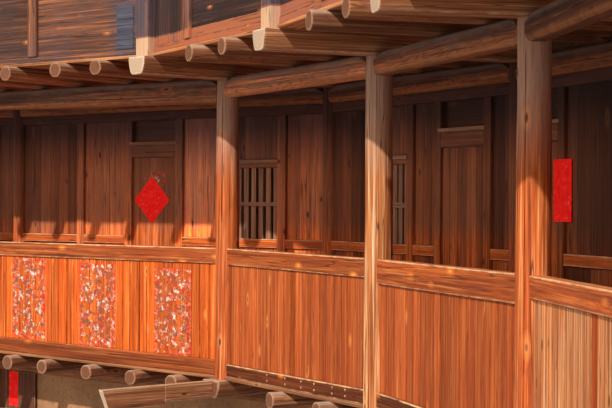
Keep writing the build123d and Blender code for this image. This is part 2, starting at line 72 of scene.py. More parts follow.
up = np.array([0.0, 0.0, 1.0])
postHeadings = [gallery["headings"][min(post, 4)] - gallery["halfTurns"][post] for post in posts]


def findFrontPoints():
    widths, headings = gallery["bayWidths"], gallery["headings"]
    point = np.array([-widths[gallery["middleBay"]] / 2, -gallery["projection"], 0.0])
    for bay in range(gallery["middleBay"]):
        point = point - alongLine(headings[bay]) * widths[bay]
    points = [point]
    for bay in bays:
        points.append(points[-1] + alongLine(headings[bay]) * widths[bay])
    return points


frontPoints = findFrontPoints()


def tangent(post):
    return math.tan(math.radians(gallery["halfTurns"][post]))


def lineEnds(bay, offset, inset=0.0):
    # Where a line at this offset starts and ends in a bay, less an inset at both ends
    left, right = -offset * tangent(bay), gallery["bayWidths"][bay] + offset * tangent(bay + 1)
    return left + inset, right - inset


def sunkAt(bay, distance):
    left, right = gallery["sunk"][bay:bay + 2]
    return left + (right - left) * distance / gallery["bayWidths"][bay]


def bayPoint(bay, distance, offset, height, settled=False):
    heading = gallery["headings"][bay]
    place = frontPoints[bay] + alongLine(heading) * distance + awayFrom(heading) * offset
    return place + up * (height - settled * sunkAt(bay, distance))


def postPoint(post, offset, height):
    reach = offset / math.cos(math.radians(gallery["halfTurns"][post]))
    return frontPoints[post] + awayFrom(postHeadings[post]) * reach + up * height


def waver(seed, *coordinates):
    # Smooth unevenness between about -1 and 1: a sum of seven sine waves whose directions are drawn from the seed
    draw = np.random.default_rng(seed)
    total = 0.0
    for wave in range(7):
        pull = draw.normal(size=len(coordinates)) * (0.7 + 0.55 * wave)
        phase = draw.uniform(0, 2 * math.pi)
        total = total + np.sin(sum(f * c for f, c in zip(pull, coordinates)) + phase) / (1 + 0.45 * wave)
    return total / 3.2


def boxSection(width, depth, rounding):
    # Outline of a rectangle with rounded corners: quarter circles joined by straight sides, anticlockwise
    x, y = width / 2 - rounding, depth / 2 - rounding
    turn = np.linspace(0, math.pi / 2, 4)
    points = []
    for corner, (cx, cy) in enumerate(((x, y), (-x, y), (-x, -y), (x, -y))):
        angle = turn + corner * math.pi / 2
        points.append(np.stack([cx + rounding * np.cos(angle), cy + rounding * np.sin(angle)], 1))
    return np.concatenate(points)


def logSection(diameter, flatTop=None):
    # Outline of a log: a circle, hewn flat above and below where flatTop is given
    angle = np.linspace(0, 2 * math.pi, 49)[:-1]
    points = np.stack([np.cos(angle), np.sin(angle)], 1) * diameter / 2
    if flatTop:
        points[:, 1] = np.clip(points[:, 1], -flatTop / 2, flatTop / 2)
    return points


def hewnSection(width, foot, depth, rounding):
    # Outline of a radial beam: flat top, sides that draw in to a narrower foot, every corner rounded by a short arc
    corners = np.array([(width / 2, depth / 2), (-width / 2, depth / 2), (-width / 2, depth * 0.1),
                        (-foot / 2, -depth / 2), (foot / 2, -depth / 2), (width / 2, depth * 0.1)])
    points = []
    for index in range(6):
        before, corner, after = corners[index - 1], corners[index], corners[(index + 1) % 6]
        size = rounding if index > 1 else 0.008
        a = corner + (before - corner) / np.linalg.norm(before - corner) * size
        b = corner + (after - corner) / np.linalg.norm(after - corner) * size
        t = np.linspace(0, 1, 4)[:, None]
        points.append((1 - t) ** 2 * a + 2 * t * (1 - t) * corner + t ** 2 * b)
    return np.concatenate(points)


def spreadRound(outline, spacing, corner):
    # Perimeter places for a grid: every outline point, and between distant ones a support point near each and even
    # steps
    closed = np.vstack([outline, outline[:1]])
    lengths = np.concatenate([[0], np.cumsum(np.linalg.norm(np.diff(closed, axis=0), axis=1))])
    places = []
    for low, high in zip(lengths[:-1], lengths[1:]):
        places.append(low)
        if high - low > 3 * corner:
            steps = max(2, int(round((high - low) / spacing)) + 1)
            places.extend(np.linspace(low + corner, high - corner, steps))
    return np.array(places), lengths, closed


plainTimber = {
    "spacing": 0.05, "corner": 0.006, "ringStep": 0.12, "endRounding": 0.004, "waver": 0.0015, "waverRates": (3.1, 26),
    "taper": (1.0, 1.0), "deepens": 0.0, "slant": (0.0, 0.0), "tilt": (0.0, 0.0), "pith": (0.0, 0.0), "tone": 0.0,
    "cracks": (),  # for each: place round the section, start and end along the timber, depth, width
    "edgeReach": 0.006, "normalReach": 0.0015,
}


def cells(rows, columns, closed=False):
    # The corners of every cell in a grid of points, the last column joined to the first where it is closed
    i, j = np.meshgrid(np.arange(rows - 1), np.arange(columns - (not closed)), indexing="ij")
    k = (j + 1) % columns
    return np.stack([i * columns + j, i * columns + k, (i + 1) * columns + k, (i + 1) * columns + j], 2).reshape(-1, 4)


def fan(middle, first, second):
    return np.stack([np.full(len(first), middle), first, second], 1)


def timberGrid(timber):
    # A section carried along a straight axis, with p along the section's outline and s along the axis:
    # point = start + axis*s + side*x(p) + upright*y(p) + normal(p)*(waver - cracks - end rounding);
    # each end closes in two shrinking rings and one middle point
    timber = {**plainTimber, **timber}
    start, end = np.asarray(timber["start"], float), np.asarray(timber["end"], float)
    length = float(np.linalg.norm(end - start))
    axis = (end - start) / length
    side = np.cross(timber["upright"], axis)
    side /= np.linalg.norm(side)
    upright = np.cross(axis, side)
    seed, rounding, cracks = timber["seed"], timber["endRounding"], timber["cracks"]
    places, lengths, closed = spreadRound(timber["section"], timber["spacing"], timber["corner"])
    perimeter = lengths[-1]

    def wayFrom(place, share):
        return (place - share * perimeter + perimeter / 2) % perimeter - perimeter / 2

    def outline(shift=0.0):
        return [np.interp(grid + shift, lengths, closed[:, column], period=perimeter) for column in (0, 1)]

    for share, low, high, depth, width in cracks:
        places = places[np.abs(wayFrom(places, share)) >= width * 1.3]
        support = width * np.array([-1, -0.45, 0, 0.45, 1])
        places = np.concatenate([places, (share * perimeter + support) % perimeter])
    places = np.sort(places)
    inner = np.linspace(0, 1, max(2, int(length / timber["ringStep"])) + 1)[1:-1] * length
    close = rounding * np.array([0, 0.3, 1.0, 2.2])
    clear = close[-1] * 1.5
    s = np.concatenate([close, inner[(inner > clear) & (inner < length - clear)], (length - close)[::-1]])
    bend = np.zeros((len(s), len(places)))
    for share, low, high, depth, width in cracks:
        pull = np.exp(-(wayFrom(places, share) / (width * 2.5)) ** 2)
        bend = bend + pull * waver(seed + 3, s * 1.6)[:, None] * width * 1.1
    grid = places + bend
    x, y = outline()
    dx, dy = [after - before for after, before in zip(outline(timber["normalReach"]), outline(-timber["normalReach"]))]
    size = np.sqrt(dx ** 2 + dy ** 2) + 1e-9
    nx, ny = dy / size, -dx / size
    share = (s / length)[:, None]
    first, last = timber["taper"]
    swell = first + (last - first) * share
    ends = np.minimum(s, length - s)
    away = np.clip(1 - ends / rounding, 0, 1)
    inset = rounding * (1 - np.sqrt(1 - away ** 2))
    lengthways, crossways = timber["waverRates"]
    push = timber["waver"] * waver(seed, s[:, None] * lengthways, x * crossways, y * crossways) - inset[:, None]
    groove = np.zeros_like(push)
    for place, low, high, depth, width in cracks:
        run = np.clip(np.minimum(share - low, high - share) * length / 0.12, 0, 1)
        opened = np.clip(1 - np.abs(wayFrom(grid, place)) / (width * 0.45), 0, 1)
        groove = groove + depth * run * opened * (0.75 + 0.25 * waver(seed + 5, s[:, None] * 4))
    x = x * swell + nx * (push - groove)
    y = y * swell + ny * (push - groove)
    y = np.where(y < 0, y - timber["deepens"] * share, y)
    if "shoulder" in timber:
        run, drop = timber["shoulder"]
        y = np.minimum(y, closed[:, 1].max() - drop * np.clip(1 - ends / run, 0, 1)[:, None])
    slant, tilt = timber["slant"], timber["tilt"]
    along = s[:, None] + (1 - share) * (slant[0] * x + tilt[0] * y) + share * (slant[1] * x + tilt[1] * y)
    reach = timber["edgeReach"]
    edge = sum(np.abs(a + b - 2 * here) for a, b, here in zip(outline(reach), outline(-reach), outline()))
    edge = np.maximum(np.clip(edge / reach * 1.4, 0, 1), np.clip(1 - ends / (rounding * 2.2), 0, 1)[:, None])
    body = np.stack((x, y, along, edge, np.zeros_like(x)), 2)
    body[[0, -1], :, 4] = 1

    def closingRing(row, outward, factor):
        depth = s[row] + (along[row] - s[row]) * factor + outward * groove[row] * factor * 0.6
        flat = np.zeros_like(depth)
        return np.stack((x[row] * factor, y[row] * factor, depth, flat, flat + 1), 1)

    front = [closingRing(0, 1, factor) for factor in (0.36, 0.72)]
    back = [closingRing(-1, -1, factor) for factor in (0.72, 0.36)]
    table = np.concatenate([np.stack(front), body, np.stack(back)])
    middles = np.array([[0, 0, 0, 0, 1], [0, 0, length, 0, 1]], float)
    count, around = table.shape[:2]
    flat = np.concatenate([table.reshape(-1, 5), middles])
    points = start + flat[:, 2:3] * axis + flat[:, 0:1] * side + flat[:, 1:2] * upright
    ring, base, middle = np.arange(around), (count - 1) * around, count * around
    following = (ring + 1) % around
    triangles = np.concatenate([fan(middle, following, ring), fan(middle + 1, base + ring, base + following)])
    pith = timber["pith"]
    grain = np.stack([flat[:, 2] + seed * 1.37, flat[:, 0] - pith[0], flat[:, 1] - pith[1]], 1)
    values = {"grain": grain, "edge": flat[:, 3], "end": flat[:, 4], "tone": np.full(len(flat), timber["tone"])}
    return points, cells(count, around, True), triangles, values


def closedSheet(front, back, tone):
    # Two grids of points, one behind the other, joined round their border: a thin closed sheet
    rows, columns = front.shape[:2]
    near = cells(rows, columns)
    across, upward = np.arange(columns), np.arange(rows) * columns
    border = np.concatenate([across[:-1], upward[:-1] + columns - 1, (across + upward[-1])[:0:-1], upward[:0:-1]])
    following = np.roll(border, -1)
    behind = rows * columns
    rim = np.stack([border, border + behind, following + behind, following], 1)
    points = np.concatenate([front.reshape(-1, 3), back.reshape(-1, 3)])
    quads = np.concatenate([near, near[:, ::-1] + behind, rim])
    return points, quads, np.zeros((0, 3), int), {"tone": np.concatenate([tone.ravel(), tone.ravel()])}


def ragged(seed, x, y, rough=9):
    # Fine unevenness: forty sine waves in drawn directions, from rough to twelve times rough to the metre, weaker as
    # they get finer
    draw = np.random.default_rng(seed)
    total = np.zeros_like(x)
    for wave in range(40):
        rate = rough * 12 ** (wave / 39)
        turn, phase = draw.uniform(0, 2 * math.pi, 2)
        total = total + np.sin(2 * math.pi * rate * (x * math.cos(turn) + y * math.sin(turn)) + phase) * rate ** -0.45
    return total / total.std()


def flakedSheet(flake):
    # A pasted sheet on a bay's boards: point = corner + along*x + up*z + outward*relief(x, z). The relief stands proud
    # where the sheet is kept and lies inside the board where it is torn off, by a ragged mask that is stronger near
    # the sheet's border
    bay, left, right, low, high, seed = (flake[key] for key in ("bay", "left", "right", "low", "high", "seed"))
    along, inward = alongLine(gallery["headings"][bay]), awayFrom(gallery["headings"][bay])
    x = np.linspace(left, right, int((right - left) / flake["step"]) + 1)[None, :]
    z = np.linspace(low, high, int((high - low) / flake["step"]) + 1)[:, None]
    x, z = np.broadcast_arrays(x, z)
    border = np.minimum(np.minimum(x - left, right - x), np.minimum(z - low, high - z))
    rim = flake["rim"] * np.exp(-border / 0.03)
    torn = 2.5 * np.clip(1 - border / 0.006, 0, 1) * (ragged(seed + 1, x, z) > 0.2)
    kept = 0.7 * ragged(seed, x, z) + 0.8 * ragged(seed + 3, x, z, 4) + flake["keep"] + rim - torn
    relief = np.clip(kept / 0.5, 0, 1) * (flake["proud"] + flake["sunk"]) - flake["sunk"]
    drop = flake.get("settled", 0) * sunkAt(bay, x)
    drape = flake.get("drape", 0.0) * np.clip(np.abs(2 * x - left - right) / (right - left) * 1.6 - 0.6, 0, 1) ** 2
    plane = frontPoints[bay] + x[..., None] * along + (z - drop)[..., None] * up + drape[..., None] * inward
    front = plane + (flake["face"] - relief)[..., None] * inward
    back = plane + (flake["face"] + flake["sunk"] + 0.002) * inward
    return closedSheet(front, back, np.exp(-border / 0.02) + 0.35 * ragged(seed + 2, x, z))


def nailHead(bay, distance, face, height, radius):
    # A forged head closed by a flat disc:
    # point = middle + outward*rise*cos(a) + (along*cos(b) + up*sin(b))*radius*sin(a)
    rings, around, rise, seat = 4, 10, radius * 0.5, 0.002
    a = np.linspace(0.25, math.pi / 2, rings)[:, None]
    b = np.linspace(0, 2 * math.pi, around + 1)[None, :-1]
    along, inward = alongLine(gallery["headings"][bay]), awayFrom(gallery["headings"][bay])
    middle = bayPoint(bay, distance, face, height, True)
    grid = middle - inward * (np.cos(a) * np.ones_like(b))[..., None] * rise
    grid = grid + (along * np.cos(b)[..., None] + up * np.sin(b)[..., None]) * (np.sin(a) * radius)[..., None]
    points = np.concatenate([grid.reshape(-1, 3), [middle - inward * rise, middle + inward * seat]])
    ring, count, last = np.arange(around), rings * around, (rings - 1) * around
    following = (ring + 1) % around
    fans = np.concatenate([fan(count, ring, following), fan(count + 1, last + following, last + ring)])
    return points, cells(rings, around, True)[:, [0, 3, 2, 1]], fans, {"tone": np.zeros(count + 2)}


def buildMesh(name, parts):
    points, quads, triangles, extras, start = [], [], [], {}, 0
    for vertices, four, three, values in parts:
        points.append(vertices)
        quads.append(four + start)
        triangles.append(three + start)
        for key, value in values.items():
            extras.setdefault(key, []).append(value)
        start += len(vertices)
    mesh = bpy.data.meshes.new(name)
    faces = np.concatenate(quads).tolist() + np.concatenate(triangles).tolist()
    mesh.from_pydata(np.concatenate(points).tolist(), [], faces)
    for key, value in extras.items():
        value = np.concatenate(value).astype(np.float32)
        kind, field = ("FLOAT_VECTOR", "vector") if value.ndim == 2 else ("FLOAT", "value")
        mesh.attributes.new(key, kind, "POINT").data.foreach_set(field, value.ravel())
    mesh.shade_smooth()
    mesh.set_sharp_from_angle(angle=math.radians(50))
    mesh.update()
    piece = bpy.data.objects.new(name, mesh)
    bpy.context.scene.collection.objects.link(piece)
    return piece


def addPiece(name, parts, material, slotName, *replaced):
    piece = buildMesh(name, parts)
    piece.data.materials.append(material)
    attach(piece, "root")
    if replaced:
        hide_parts(*replaced)
    print(name, len(piece.data.polygons), "faces")


def tint(red, green, blue):
    # A colour as it is seen on the screen, turned into the linear values that the shaders use
    seen = [value / 255 for value in (red, green, blue)]
    return (*[c / 12.92 if c <= 0.04045 else ((c + 0.055) / 1.055) ** 2.4 for c in seen], 1.0)


def put(tree, kind, inputs=None, **settings):
    node = tree.nodes.new(kind)
    for key, value in settings.items():
        setattr(node, key, value)
    for key, value in (inputs or {}).items():
        if isinstance(value, bpy.types.NodeSocket):
            tree.links.new(value, node.inputs[key])
        else:
            node.inputs[key].default_value = value
    return node


def calculate(tree, operation, first, second=0.0, third=0.0):
    return put(tree, "ShaderNodeMath", {0: first, 1: second, 2: third}, operation=operation).outputs[0]


def times(tree, first, second):
    return calculate(tree, "MULTIPLY", first, second)


def mixColour(tree, factor, first, second, kind="MIX"):
    inputs = {"Factor": factor, 6: first, 7: second}
    return put(tree, "ShaderNodeMix", inputs, data_type="RGBA", blend_type=kind).outputs[2]


def ranged(tree, value, low, high, toLow=0.0, toHigh=1.0):
    inputs = {"Value": value, "From Min": low, "From Max": high, "To Min": toLow, "To Max": toHigh}
    return put(tree, "ShaderNodeMapRange", inputs, clamp=True).outputs[0]


def stretched(tree, vector, scale):
    return put(tree, "ShaderNodeVectorMath", {0: vector, 1: scale}, operation="MULTIPLY").outputs[0]


def noise(tree, place, scale, detail, roughness=0.5):
    inputs = {"Vector": place, "Scale": scale, "Detail": detail, "Roughness": roughness}
    return put(tree, "ShaderNodeTexNoise", inputs).outputs[0]


def objectPlace(tree):
    return put(tree, "ShaderNodeTexCoord").outputs["Object"]


def useGroup(tree, group, inputs):
    return put(tree, "ShaderNodeGroup", inputs, node_tree=group).outputs


def startGroup(name, inputs, outputs):
    group = bpy.data.node_groups.new(name, "ShaderNodeTree")
    for socket, value in inputs.items():
        kind = "NodeSocketVector" if value is None else "NodeSocketFloat"
        made = group.interface.new_socket(socket, in_out="INPUT", socket_type=kind)
        if value is not None:
            made.default_value = value
    for socket in outputs:
        group.interface.new_socket(socket, in_out="OUTPUT", socket_type="NodeSocketFloat")
    return group, group.nodes.new("NodeGroupInput").outputs, group.nodes.new("NodeGroupOutput").inputs


def makeGrainGroup():
    # Growth rings round the pith, wandering along the timber, with streaks, fibres, hairline cracks and knots
    group, given, out = startGroup(
        "woodGrain", {"Grain": None, "Rings": 60.0, "Wander": 0.03, "Knot size": 0.12},
        ["Figure", "Fibre", "Streak", "Fine", "Crack", "Knot", "Halo"])
    grain, knotSize = given["Grain"], given["Knot size"]

    def along(scale, detail):
        return noise(group, stretched(group, grain, scale), 1.0, detail)

    knots = put(group, "ShaderNodeTexVoronoi", {
        "Vector": stretched(group, grain, (2.6, 6.5, 6.5)), "Scale": 1.0, "Randomness": 1.0}).outputs["Distance"]
    parted = put(group, "ShaderNodeSeparateXYZ", {0: grain}).outputs
    flat = put(group, "ShaderNodeCombineXYZ", {1: parted[1], 2: parted[2]}).outputs[0]
    radius = put(group, "ShaderNodeVectorMath", {0: flat}, operation="LENGTH").outputs["Value"]
    drift = calculate(group, "SUBTRACT", along((0.9, 7, 7), 3.0), 0.5)
    radius = calculate(group, "MULTIPLY_ADD", drift, given["Wander"], radius)
    radius = calculate(group, "MULTIPLY_ADD", ranged(group, knots, 0.42, 0.0), 0.018, radius)
    ring = calculate(group, "FRACT", times(group, radius, given["Rings"]))
    apart = calculate(group, "ABSOLUTE", calculate(group, "SUBTRACT", along((0.55, 24, 24), 1.0), 0.42))
    for name, value in (
        ("Figure", times(group, ranged(group, ring, 0.25, 0.85), ranged(group, ring, 1.0, 0.9))),
        ("Fibre", ranged(group, along((5, 170, 170), 2.0), 0.3, 0.7)),
        ("Streak", ranged(group, along((0.5, 22, 22), 3.0), 0.34, 0.66)),
        ("Fine", ranged(group, along((1.1, 64, 64), 3.0), 0.30, 0.70)),
        ("Crack", ranged(group, apart, 0.014, 0.004)),
        ("Knot", ranged(group, knots, knotSize, times(group, knotSize, 0.55))),
        ("Halo", ranged(group, knots, times(group, knotSize, 2.4), knotSize)),
    ):
        group.links.new(value, out[name])
    return group


def makeDustGroup():
    # Dust lies where a face looks up, in patches
    group, given, out = startGroup("dustOnTop", {"Steep": 0.1, "Flat": 0.8, "Patches": 6.0}, ["Mask"])
    normal = put(group, "ShaderNodeNewGeometry").outputs["Normal"]
    facing = put(group, "ShaderNodeSeparateXYZ", {0: normal}).outputs[2]
    patch = noise(group, objectPlace(group), given["Patches"], 4.0, 0.65)
    high = calculate(group, "ADD", facing, calculate(group, "MULTIPLY_ADD", patch, 0.7, -0.35))
    group.links.new(ranged(group, high, given["Steep"], given["Flat"]), out["Mask"])
    return group


def makeWearGroup():
    # Long edges and ends rubbed pale in places
    group, given, out = startGroup("wornEdge", {"Reach": 0.5, "Patches": 9.0}, ["Mask"])
    edge = put(group, "ShaderNodeAttribute", attribute_name="edge").outputs["Fac"]
    patch = noise(group, objectPlace(group), given["Patches"], 4.0)
    rubbed = calculate(group, "ADD", edge, calculate(group, "MULTIPLY_ADD", patch, 1.6, -0.8))
    group.links.new(ranged(group, rubbed, calculate(group, "SUBTRACT", 1.0, given["Reach"]), 1.2), out["Mask"])
    return group


def makeStainGroup():
    # Large soft patches of damp and smoke, longer upright than across
    group, given, out = startGroup("stain", {"Scale": 1.5}, ["Mask"])
    patch = noise(group, stretched(group, objectPlace(group), (1, 1, 0.6)), given["Scale"], 5.0, 0.6)
    group.links.new(ranged(group, patch, 0.38, 0.66), out["Mask"])
    return group


grainGroup, dustGroup, wearGroup, stainGroup = makeGrainGroup(), makeDustGroup(), makeWearGroup(), makeStainGroup()


def startMaterial(name, roughness, shine=0.5):
    material = bpy.data.materials.new(name)
    material.use_nodes = True
    tree = material.node_tree
    shader = tree.nodes["Principled BSDF"].inputs
    shader["Roughness"].default_value = roughness
    shader["Specular IOR Level"].default_value = shine
    return material, tree, shader


def addBump(tree, shader, height, strength, distance):
    bump = put(tree, "ShaderNodeBump", {"Height": height, "Strength": strength, "Distance": distance})
    tree.links.new(bump.outputs[0], shader["Normal"])


plainWood = {
    "light": (190, 110, 62), "dark": (110, 58, 34), "late": (90, 46, 28), "figure": 0.35, "rings": 110.0,
    "wander": 0.05, "streak": 0.9, "pale": (214, 146, 92), "paleShare": 0.5, "deep": (84, 42, 24), "deepShare": 0.5,
    "fibre": 0.4, "crack": (44, 22, 14), "cracked": 0.6, "knot": (70, 34, 22), "knotShare": 0.85, "knotSize": 0.10,
    "halo": (200, 130, 70), "haloShare": 0.4, "stain": (96, 66, 48), "stained": 0.35, "stainScale": 1.4,
    "dust": (196, 172, 146), "dusty": 0.6, "dustFrom": 0.25, "edge": (214, 168, 126), "rubbed": 0.5, "wearReach": 0.5,
    "end": (186, 148, 112), "endShare": 0.8, "endRings": 0.45, "toneStep": 0.25, "darkest": 0.24,
    "roughness": 0.72, "shine": 0.12, "bump": 0.6, "shades": (), "fromPlace": False,
}


def woodMaterial(name, base=plainWood, **changes):
    look = {**plainWood, **base, **changes}
    material, tree, shader = startMaterial(name, look["roughness"], look["shine"])
    place = objectPlace(tree)
    attribute = {key: put(tree, "ShaderNodeAttribute", attribute_name=key).outputs for key in ("grain", "end", "tone")}
    tone = attribute["tone"]["Fac"]
    grain = useGroup(tree, grainGroup, {
        "Grain": place if look["fromPlace"] else attribute["grain"]["Vector"], "Rings": look["rings"],
        "Wander": look["wander"], "Knot size": look["knotSize"]})

    def over(base, mask, share, key):
        # The colour called key over the base, as far as the mask and its share say
        return mixColour(tree, times(tree, mask, look[share]), base, tint(*look[key]))

    colour = over(tint(*look["light"]), grain["Streak"], "streak", "dark")
    colour = over(colour, grain["Figure"], "figure", "late")
    high = ranged(tree, grain["Fine"], 0.55, 1.0, 0.0, look["paleShare"])
    low = ranged(tree, grain["Fine"], 0.45, 0.0, 0.0, look["deepShare"])
    colour = mixColour(tree, high, colour, tint(*look["pale"]))
    colour = mixColour(tree, low, colour, tint(*look["deep"]))
    colour = over(colour, useGroup(tree, stainGroup, {"Scale": look["stainScale"]})["Mask"], "stained", "stain")
    for bottom, top, shadeColour, amount in look["shades"]:
        # Painted shade, partly smoke and weather: timbers turn darker or greyer towards a level, where the floors above
        # shade them and smoke and weather reach them
        risen = put(tree, "ShaderNodeSeparateXYZ", {0: place}).outputs[2]
        wavy = calculate(tree, "MULTIPLY_ADD", grain["Streak"], 0.08, risen)
        colour = mixColour(tree, ranged(tree, wavy, bottom, top, 0.0, amount), colour, tint(*shadeColour))
    fine = ranged(tree, grain["Fibre"], 0.0, 1.0, 1.0 - look["fibre"] * 0.6, 1.0 + look["fibre"] * 0.4)
    step = calculate(tree, "MAXIMUM", calculate(tree, "MULTIPLY_ADD", tone, look["toneStep"], 1.0), look["darkest"])
    toned = times(tree, fine, step)
    grey = put(tree, "ShaderNodeCombineColor", {0: toned, 1: toned, 2: toned}).outputs[0]
    colour = mixColour(tree, 1.0, colour, grey, "MULTIPLY")
    if "foot" in look:
        # Painted sunlight: where the tone is far above its usual range the wood takes the colours of its sunlit foot,
        # below the shade of the storey above
        paintedSunlight = mixColour(tree, ranged(tree, tone, 4.5, 5.5), tint(*look["foot"]), tint(*look["bare"]))
        shown = times(tree, ranged(tree, tone, 1.6, 2.4), ranged(tree, grain["Fine"], 0, 1, 0.65, 1.0))
        colour = mixColour(tree, shown, colour, paintedSunlight)
    colour = over(colour, grain["Halo"], "haloShare", "halo")
    colour = over(colour, grain["Knot"], "knotShare", "knot")
    colour = over(colour, grain["Crack"], "cracked", "crack")
    endGrain = over(tint(*look["end"]), grain["Figure"], "endRings", "late")
    colour = mixColour(tree, times(tree, attribute["end"]["Fac"], look["endShare"]), colour, endGrain)
    colour = over(colour, useGroup(tree, wearGroup, {"Reach": look["wearReach"]})["Mask"], "rubbed", "edge")
    dust = useGroup(tree, dustGroup, {"Steep": look["dustFrom"], "Flat": look["dustFrom"] + 0.6})["Mask"]
    colour = over(colour, dust, "dusty", "dust")
    tree.links.new(colour, shader["Base Color"])
    rough = calculate(tree, "MULTIPLY_ADD", grain["Figure"], -0.10, look["roughness"])
    tree.links.new(calculate(tree, "MULTIPLY_ADD", dust, 0.12, rough), shader["Roughness"])
    height = calculate(tree, "MULTIPLY_ADD", grain["Figure"], 0.3, times(tree, grain["Fibre"], 0.4))
    height = calculate(tree, "MULTIPLY_ADD", grain["Fine"], 0.6, height)
    height = calculate(tree, "SUBTRACT", height, times(tree, grain["Crack"], 0.8))
    addBump(tree, shader, height, look["bump"], 0.002)
    return material


def paperMaterial(name, paper):
    # Faded paper: red at the borders and in patches, worn through pink to white, with small brown specks
    material, tree, shader = startMaterial(name, 0.9, 0.15)
    place = objectPlace(tree)
    patch = noise(tree, place, paper["patches"], 5.0, 0.7)
    border = put(tree, "ShaderNodeAttribute", attribute_name="tone").outputs["Fac"]
    redness = calculate(tree, "MULTIPLY_ADD", border, paper["rim"], patch)
    worn = times(tree, ranged(tree, border, 0.45, 0.05), ranged(tree, patch, 0.40, 0.52))
    colour = tint(*paper["white"])
    for mask, key in (
        (ranged(tree, redness, paper["low"], paper["low"] + 0.12), "pink"),
        (ranged(tree, redness, paper["high"], paper["high"] + 0.1), "red"),
        (times(tree, worn, paper["middle"]), "brown"),
        (ranged(tree, noise(tree, place, 90.0, 3.0), 0.58, 0.70, 0.0, paper["specks"]), "brown"),
    ):
        colour = mixColour(tree, mask, colour, tint(*paper[key]))
    tree.links.new(colour, shader["Base Color"])
    # Painted glow: the paper gives off a little of its own colour as light, though it is no lamp
    tree.links.new(colour, shader["Emission Color"])
    shader["Emission Strength"].default_value = paper["paintedGlow"]
    addBump(tree, shader, patch, 0.5, 0.003)
    return material


def ironMaterial():
    look = {"bare": (196, 156, 128), "rust": (150, 104, 76)}
    material, tree, shader = startMaterial("nailIron", 0.7)
    rust = noise(tree, objectPlace(tree), 160.0, 4.0)
    colour = mixColour(tree, ranged(tree, rust, 0.4, 0.6), tint(*look["bare"]), tint(*look["rust"]))
    tree.links.new(colour, shader["Base Color"])
    tree.links.new(ranged(tree, rust, 0.3, 0.7, 0.5, 0.85), shader["Roughness"])
    tree.links.new(ranged(tree, rust, 0.4, 0.6, 0.4, 0.1), shader["Metallic"])
    return material


def plasterMaterial():
    look = {"body": (186, 130, 84), "worn": (146, 98, 62), "straw": (206, 160, 112), "damp": (118, 78, 50)}
    material, tree, shader = startMaterial("clayPlaster", 0.95)
    place = objectPlace(tree)
    stain = useGroup(tree, stainGroup, {"Scale": 2.2})["Mask"]
    grit, hollow = noise(tree, place, 140.0, 4.0), noise(tree, place, 22.0, 5.0)
    colour = mixColour(tree, stain, tint(*look["body"]), tint(*look["worn"]))
    colour = mixColour(tree, ranged(tree, grit, 0.45, 0.75, 0.0, 0.6), colour, tint(*look["straw"]))
    colour = mixColour(tree, ranged(tree, hollow, 0.55, 0.72, 0.0, 0.6), colour, tint(*look["damp"]))
    tree.links.new(colour, shader["Base Color"])
    addBump(tree, shader, calculate(tree, "MULTIPLY_ADD", hollow, 1.0, times(tree, grit, 0.4)), 0.8, 0.004)
    return material


cameraView = {
    "place": (10.277, -6.063, 2.118),
    "heading": (-0.8846, 0.4664),
    "pitchDown": 0.00138,
    "roll": 0.0051,
    "focalPixels": 1519.0,
    "picture": (612, 408),
}


def placeCamera():
    data = bpy.data.cameras.new("camera")
    data.sensor_width = 36.0
    data.lens = 36.0 * cameraView["focalPixels"] / cameraView["picture"][0]
    data.clip_start = 0.1
    data.clip_end = 200.0
    camera = bpy.data.objects.new("camera", data)
    bpy.context.scene.collection.objects.link(camera)
    hx, hy = cameraView["heading"]
    down = math.sin(cameraView["pitchDown"])
    flat = math.cos(cameraView["pitchDown"])
    aim = Vector((hx * flat, hy * flat, -down))
    turn = aim.to_track_quat("-Z", "Y").to_matrix().to_4x4()
    camera.matrix_world = Matrix.Translation(cameraView["place"]) @ turn @ Matrix.Rotation(cameraView["roll"], 4, "Z")
    bpy.context.scene.camera = camera


light = {
    # Height in degrees above the ground, side in degrees round from the middle bay's front to the right
    "key": {"strength": 3.4, "height": 35.2, "side": 37.5, "width": 1.0},
    "fill": {"strength": 1.15, "height": 22.0, "side": 4.0, "width": 70.0},
    "sky": 0.32, "ground": (0.80, 0.79, 0.77), "groundBounce": 0.28, "groundSize": 60,
}


def addSun(name, lamp):
    data = bpy.data.lights.new(name, "SUN")
    data.energy = lamp["strength"]
    data.angle = math.radians(lamp["width"])
    sun = bpy.data.objects.new(name, data)
    height, side = math.radians(lamp["height"]), math.radians(lamp["side"])
    ray = Vector((-math.sin(side) * math.cos(height), math.cos(side) * math.cos(height), -math.sin(height)))
    sun.rotation_mode = "QUATERNION"
    sun.rotation_quaternion = ray.to_track_quat("-Z", "Y")
    bpy.context.scene.collection.objects.link(sun)


def seenDirectly(tree):
    # 1 on the rays that show the background and the ground, 0 on those that only carry light to the part
    path = put(tree, "ShaderNodeLightPath").outputs
    mirrored = calculate(tree, "MAXIMUM", path["Is Glossy Ray"], path["Is Transmission Ray"])
    return calculate(tree, "MAXIMUM", path["Is Camera Ray"], mirrored)


def lightScene():
    world = bpy.data.worlds.new("world")
    world.use_nodes = True
    tree = world.node_tree
    background = tree.nodes["Background"].inputs
    background["Color"].default_value = (1, 1, 1, 1)
    strength = calculate(tree, "MULTIPLY_ADD", seenDirectly(tree), 1.0 - light["sky"], light["sky"])
    tree.links.new(strength, background["Strength"])
    bpy.context.scene.world = world
    bpy.context.scene.view_settings.view_transform = "Standard"
    addSun("key", light["key"])
    addSun("fill", light["fill"])
    ground, tree, shader = startMaterial("ground", 0.9)
    bounce, size = light["groundBounce"], light["groundSize"]
    colour = mixColour(tree, seenDirectly(tree), (bounce, bounce, bounce, 1), (*light["ground"], 1))
    tree.links.new(colour, shader["Base Color"])
    mesh = bpy.data.meshes.new("ground")
    corners = [(-size, -size, 0), (size, -size, 0), (size, size, 0), (-size, size, 0)]
    mesh.from_pydata(corners, [], [(0, 1, 2, 3)])
    mesh.materials.append(ground)
    floor = bpy.data.objects.new("ground", mesh)
    bpy.context.scene.collection.objects.link(floor)


placeCamera()
lightScene()
print("camera and light are in place")
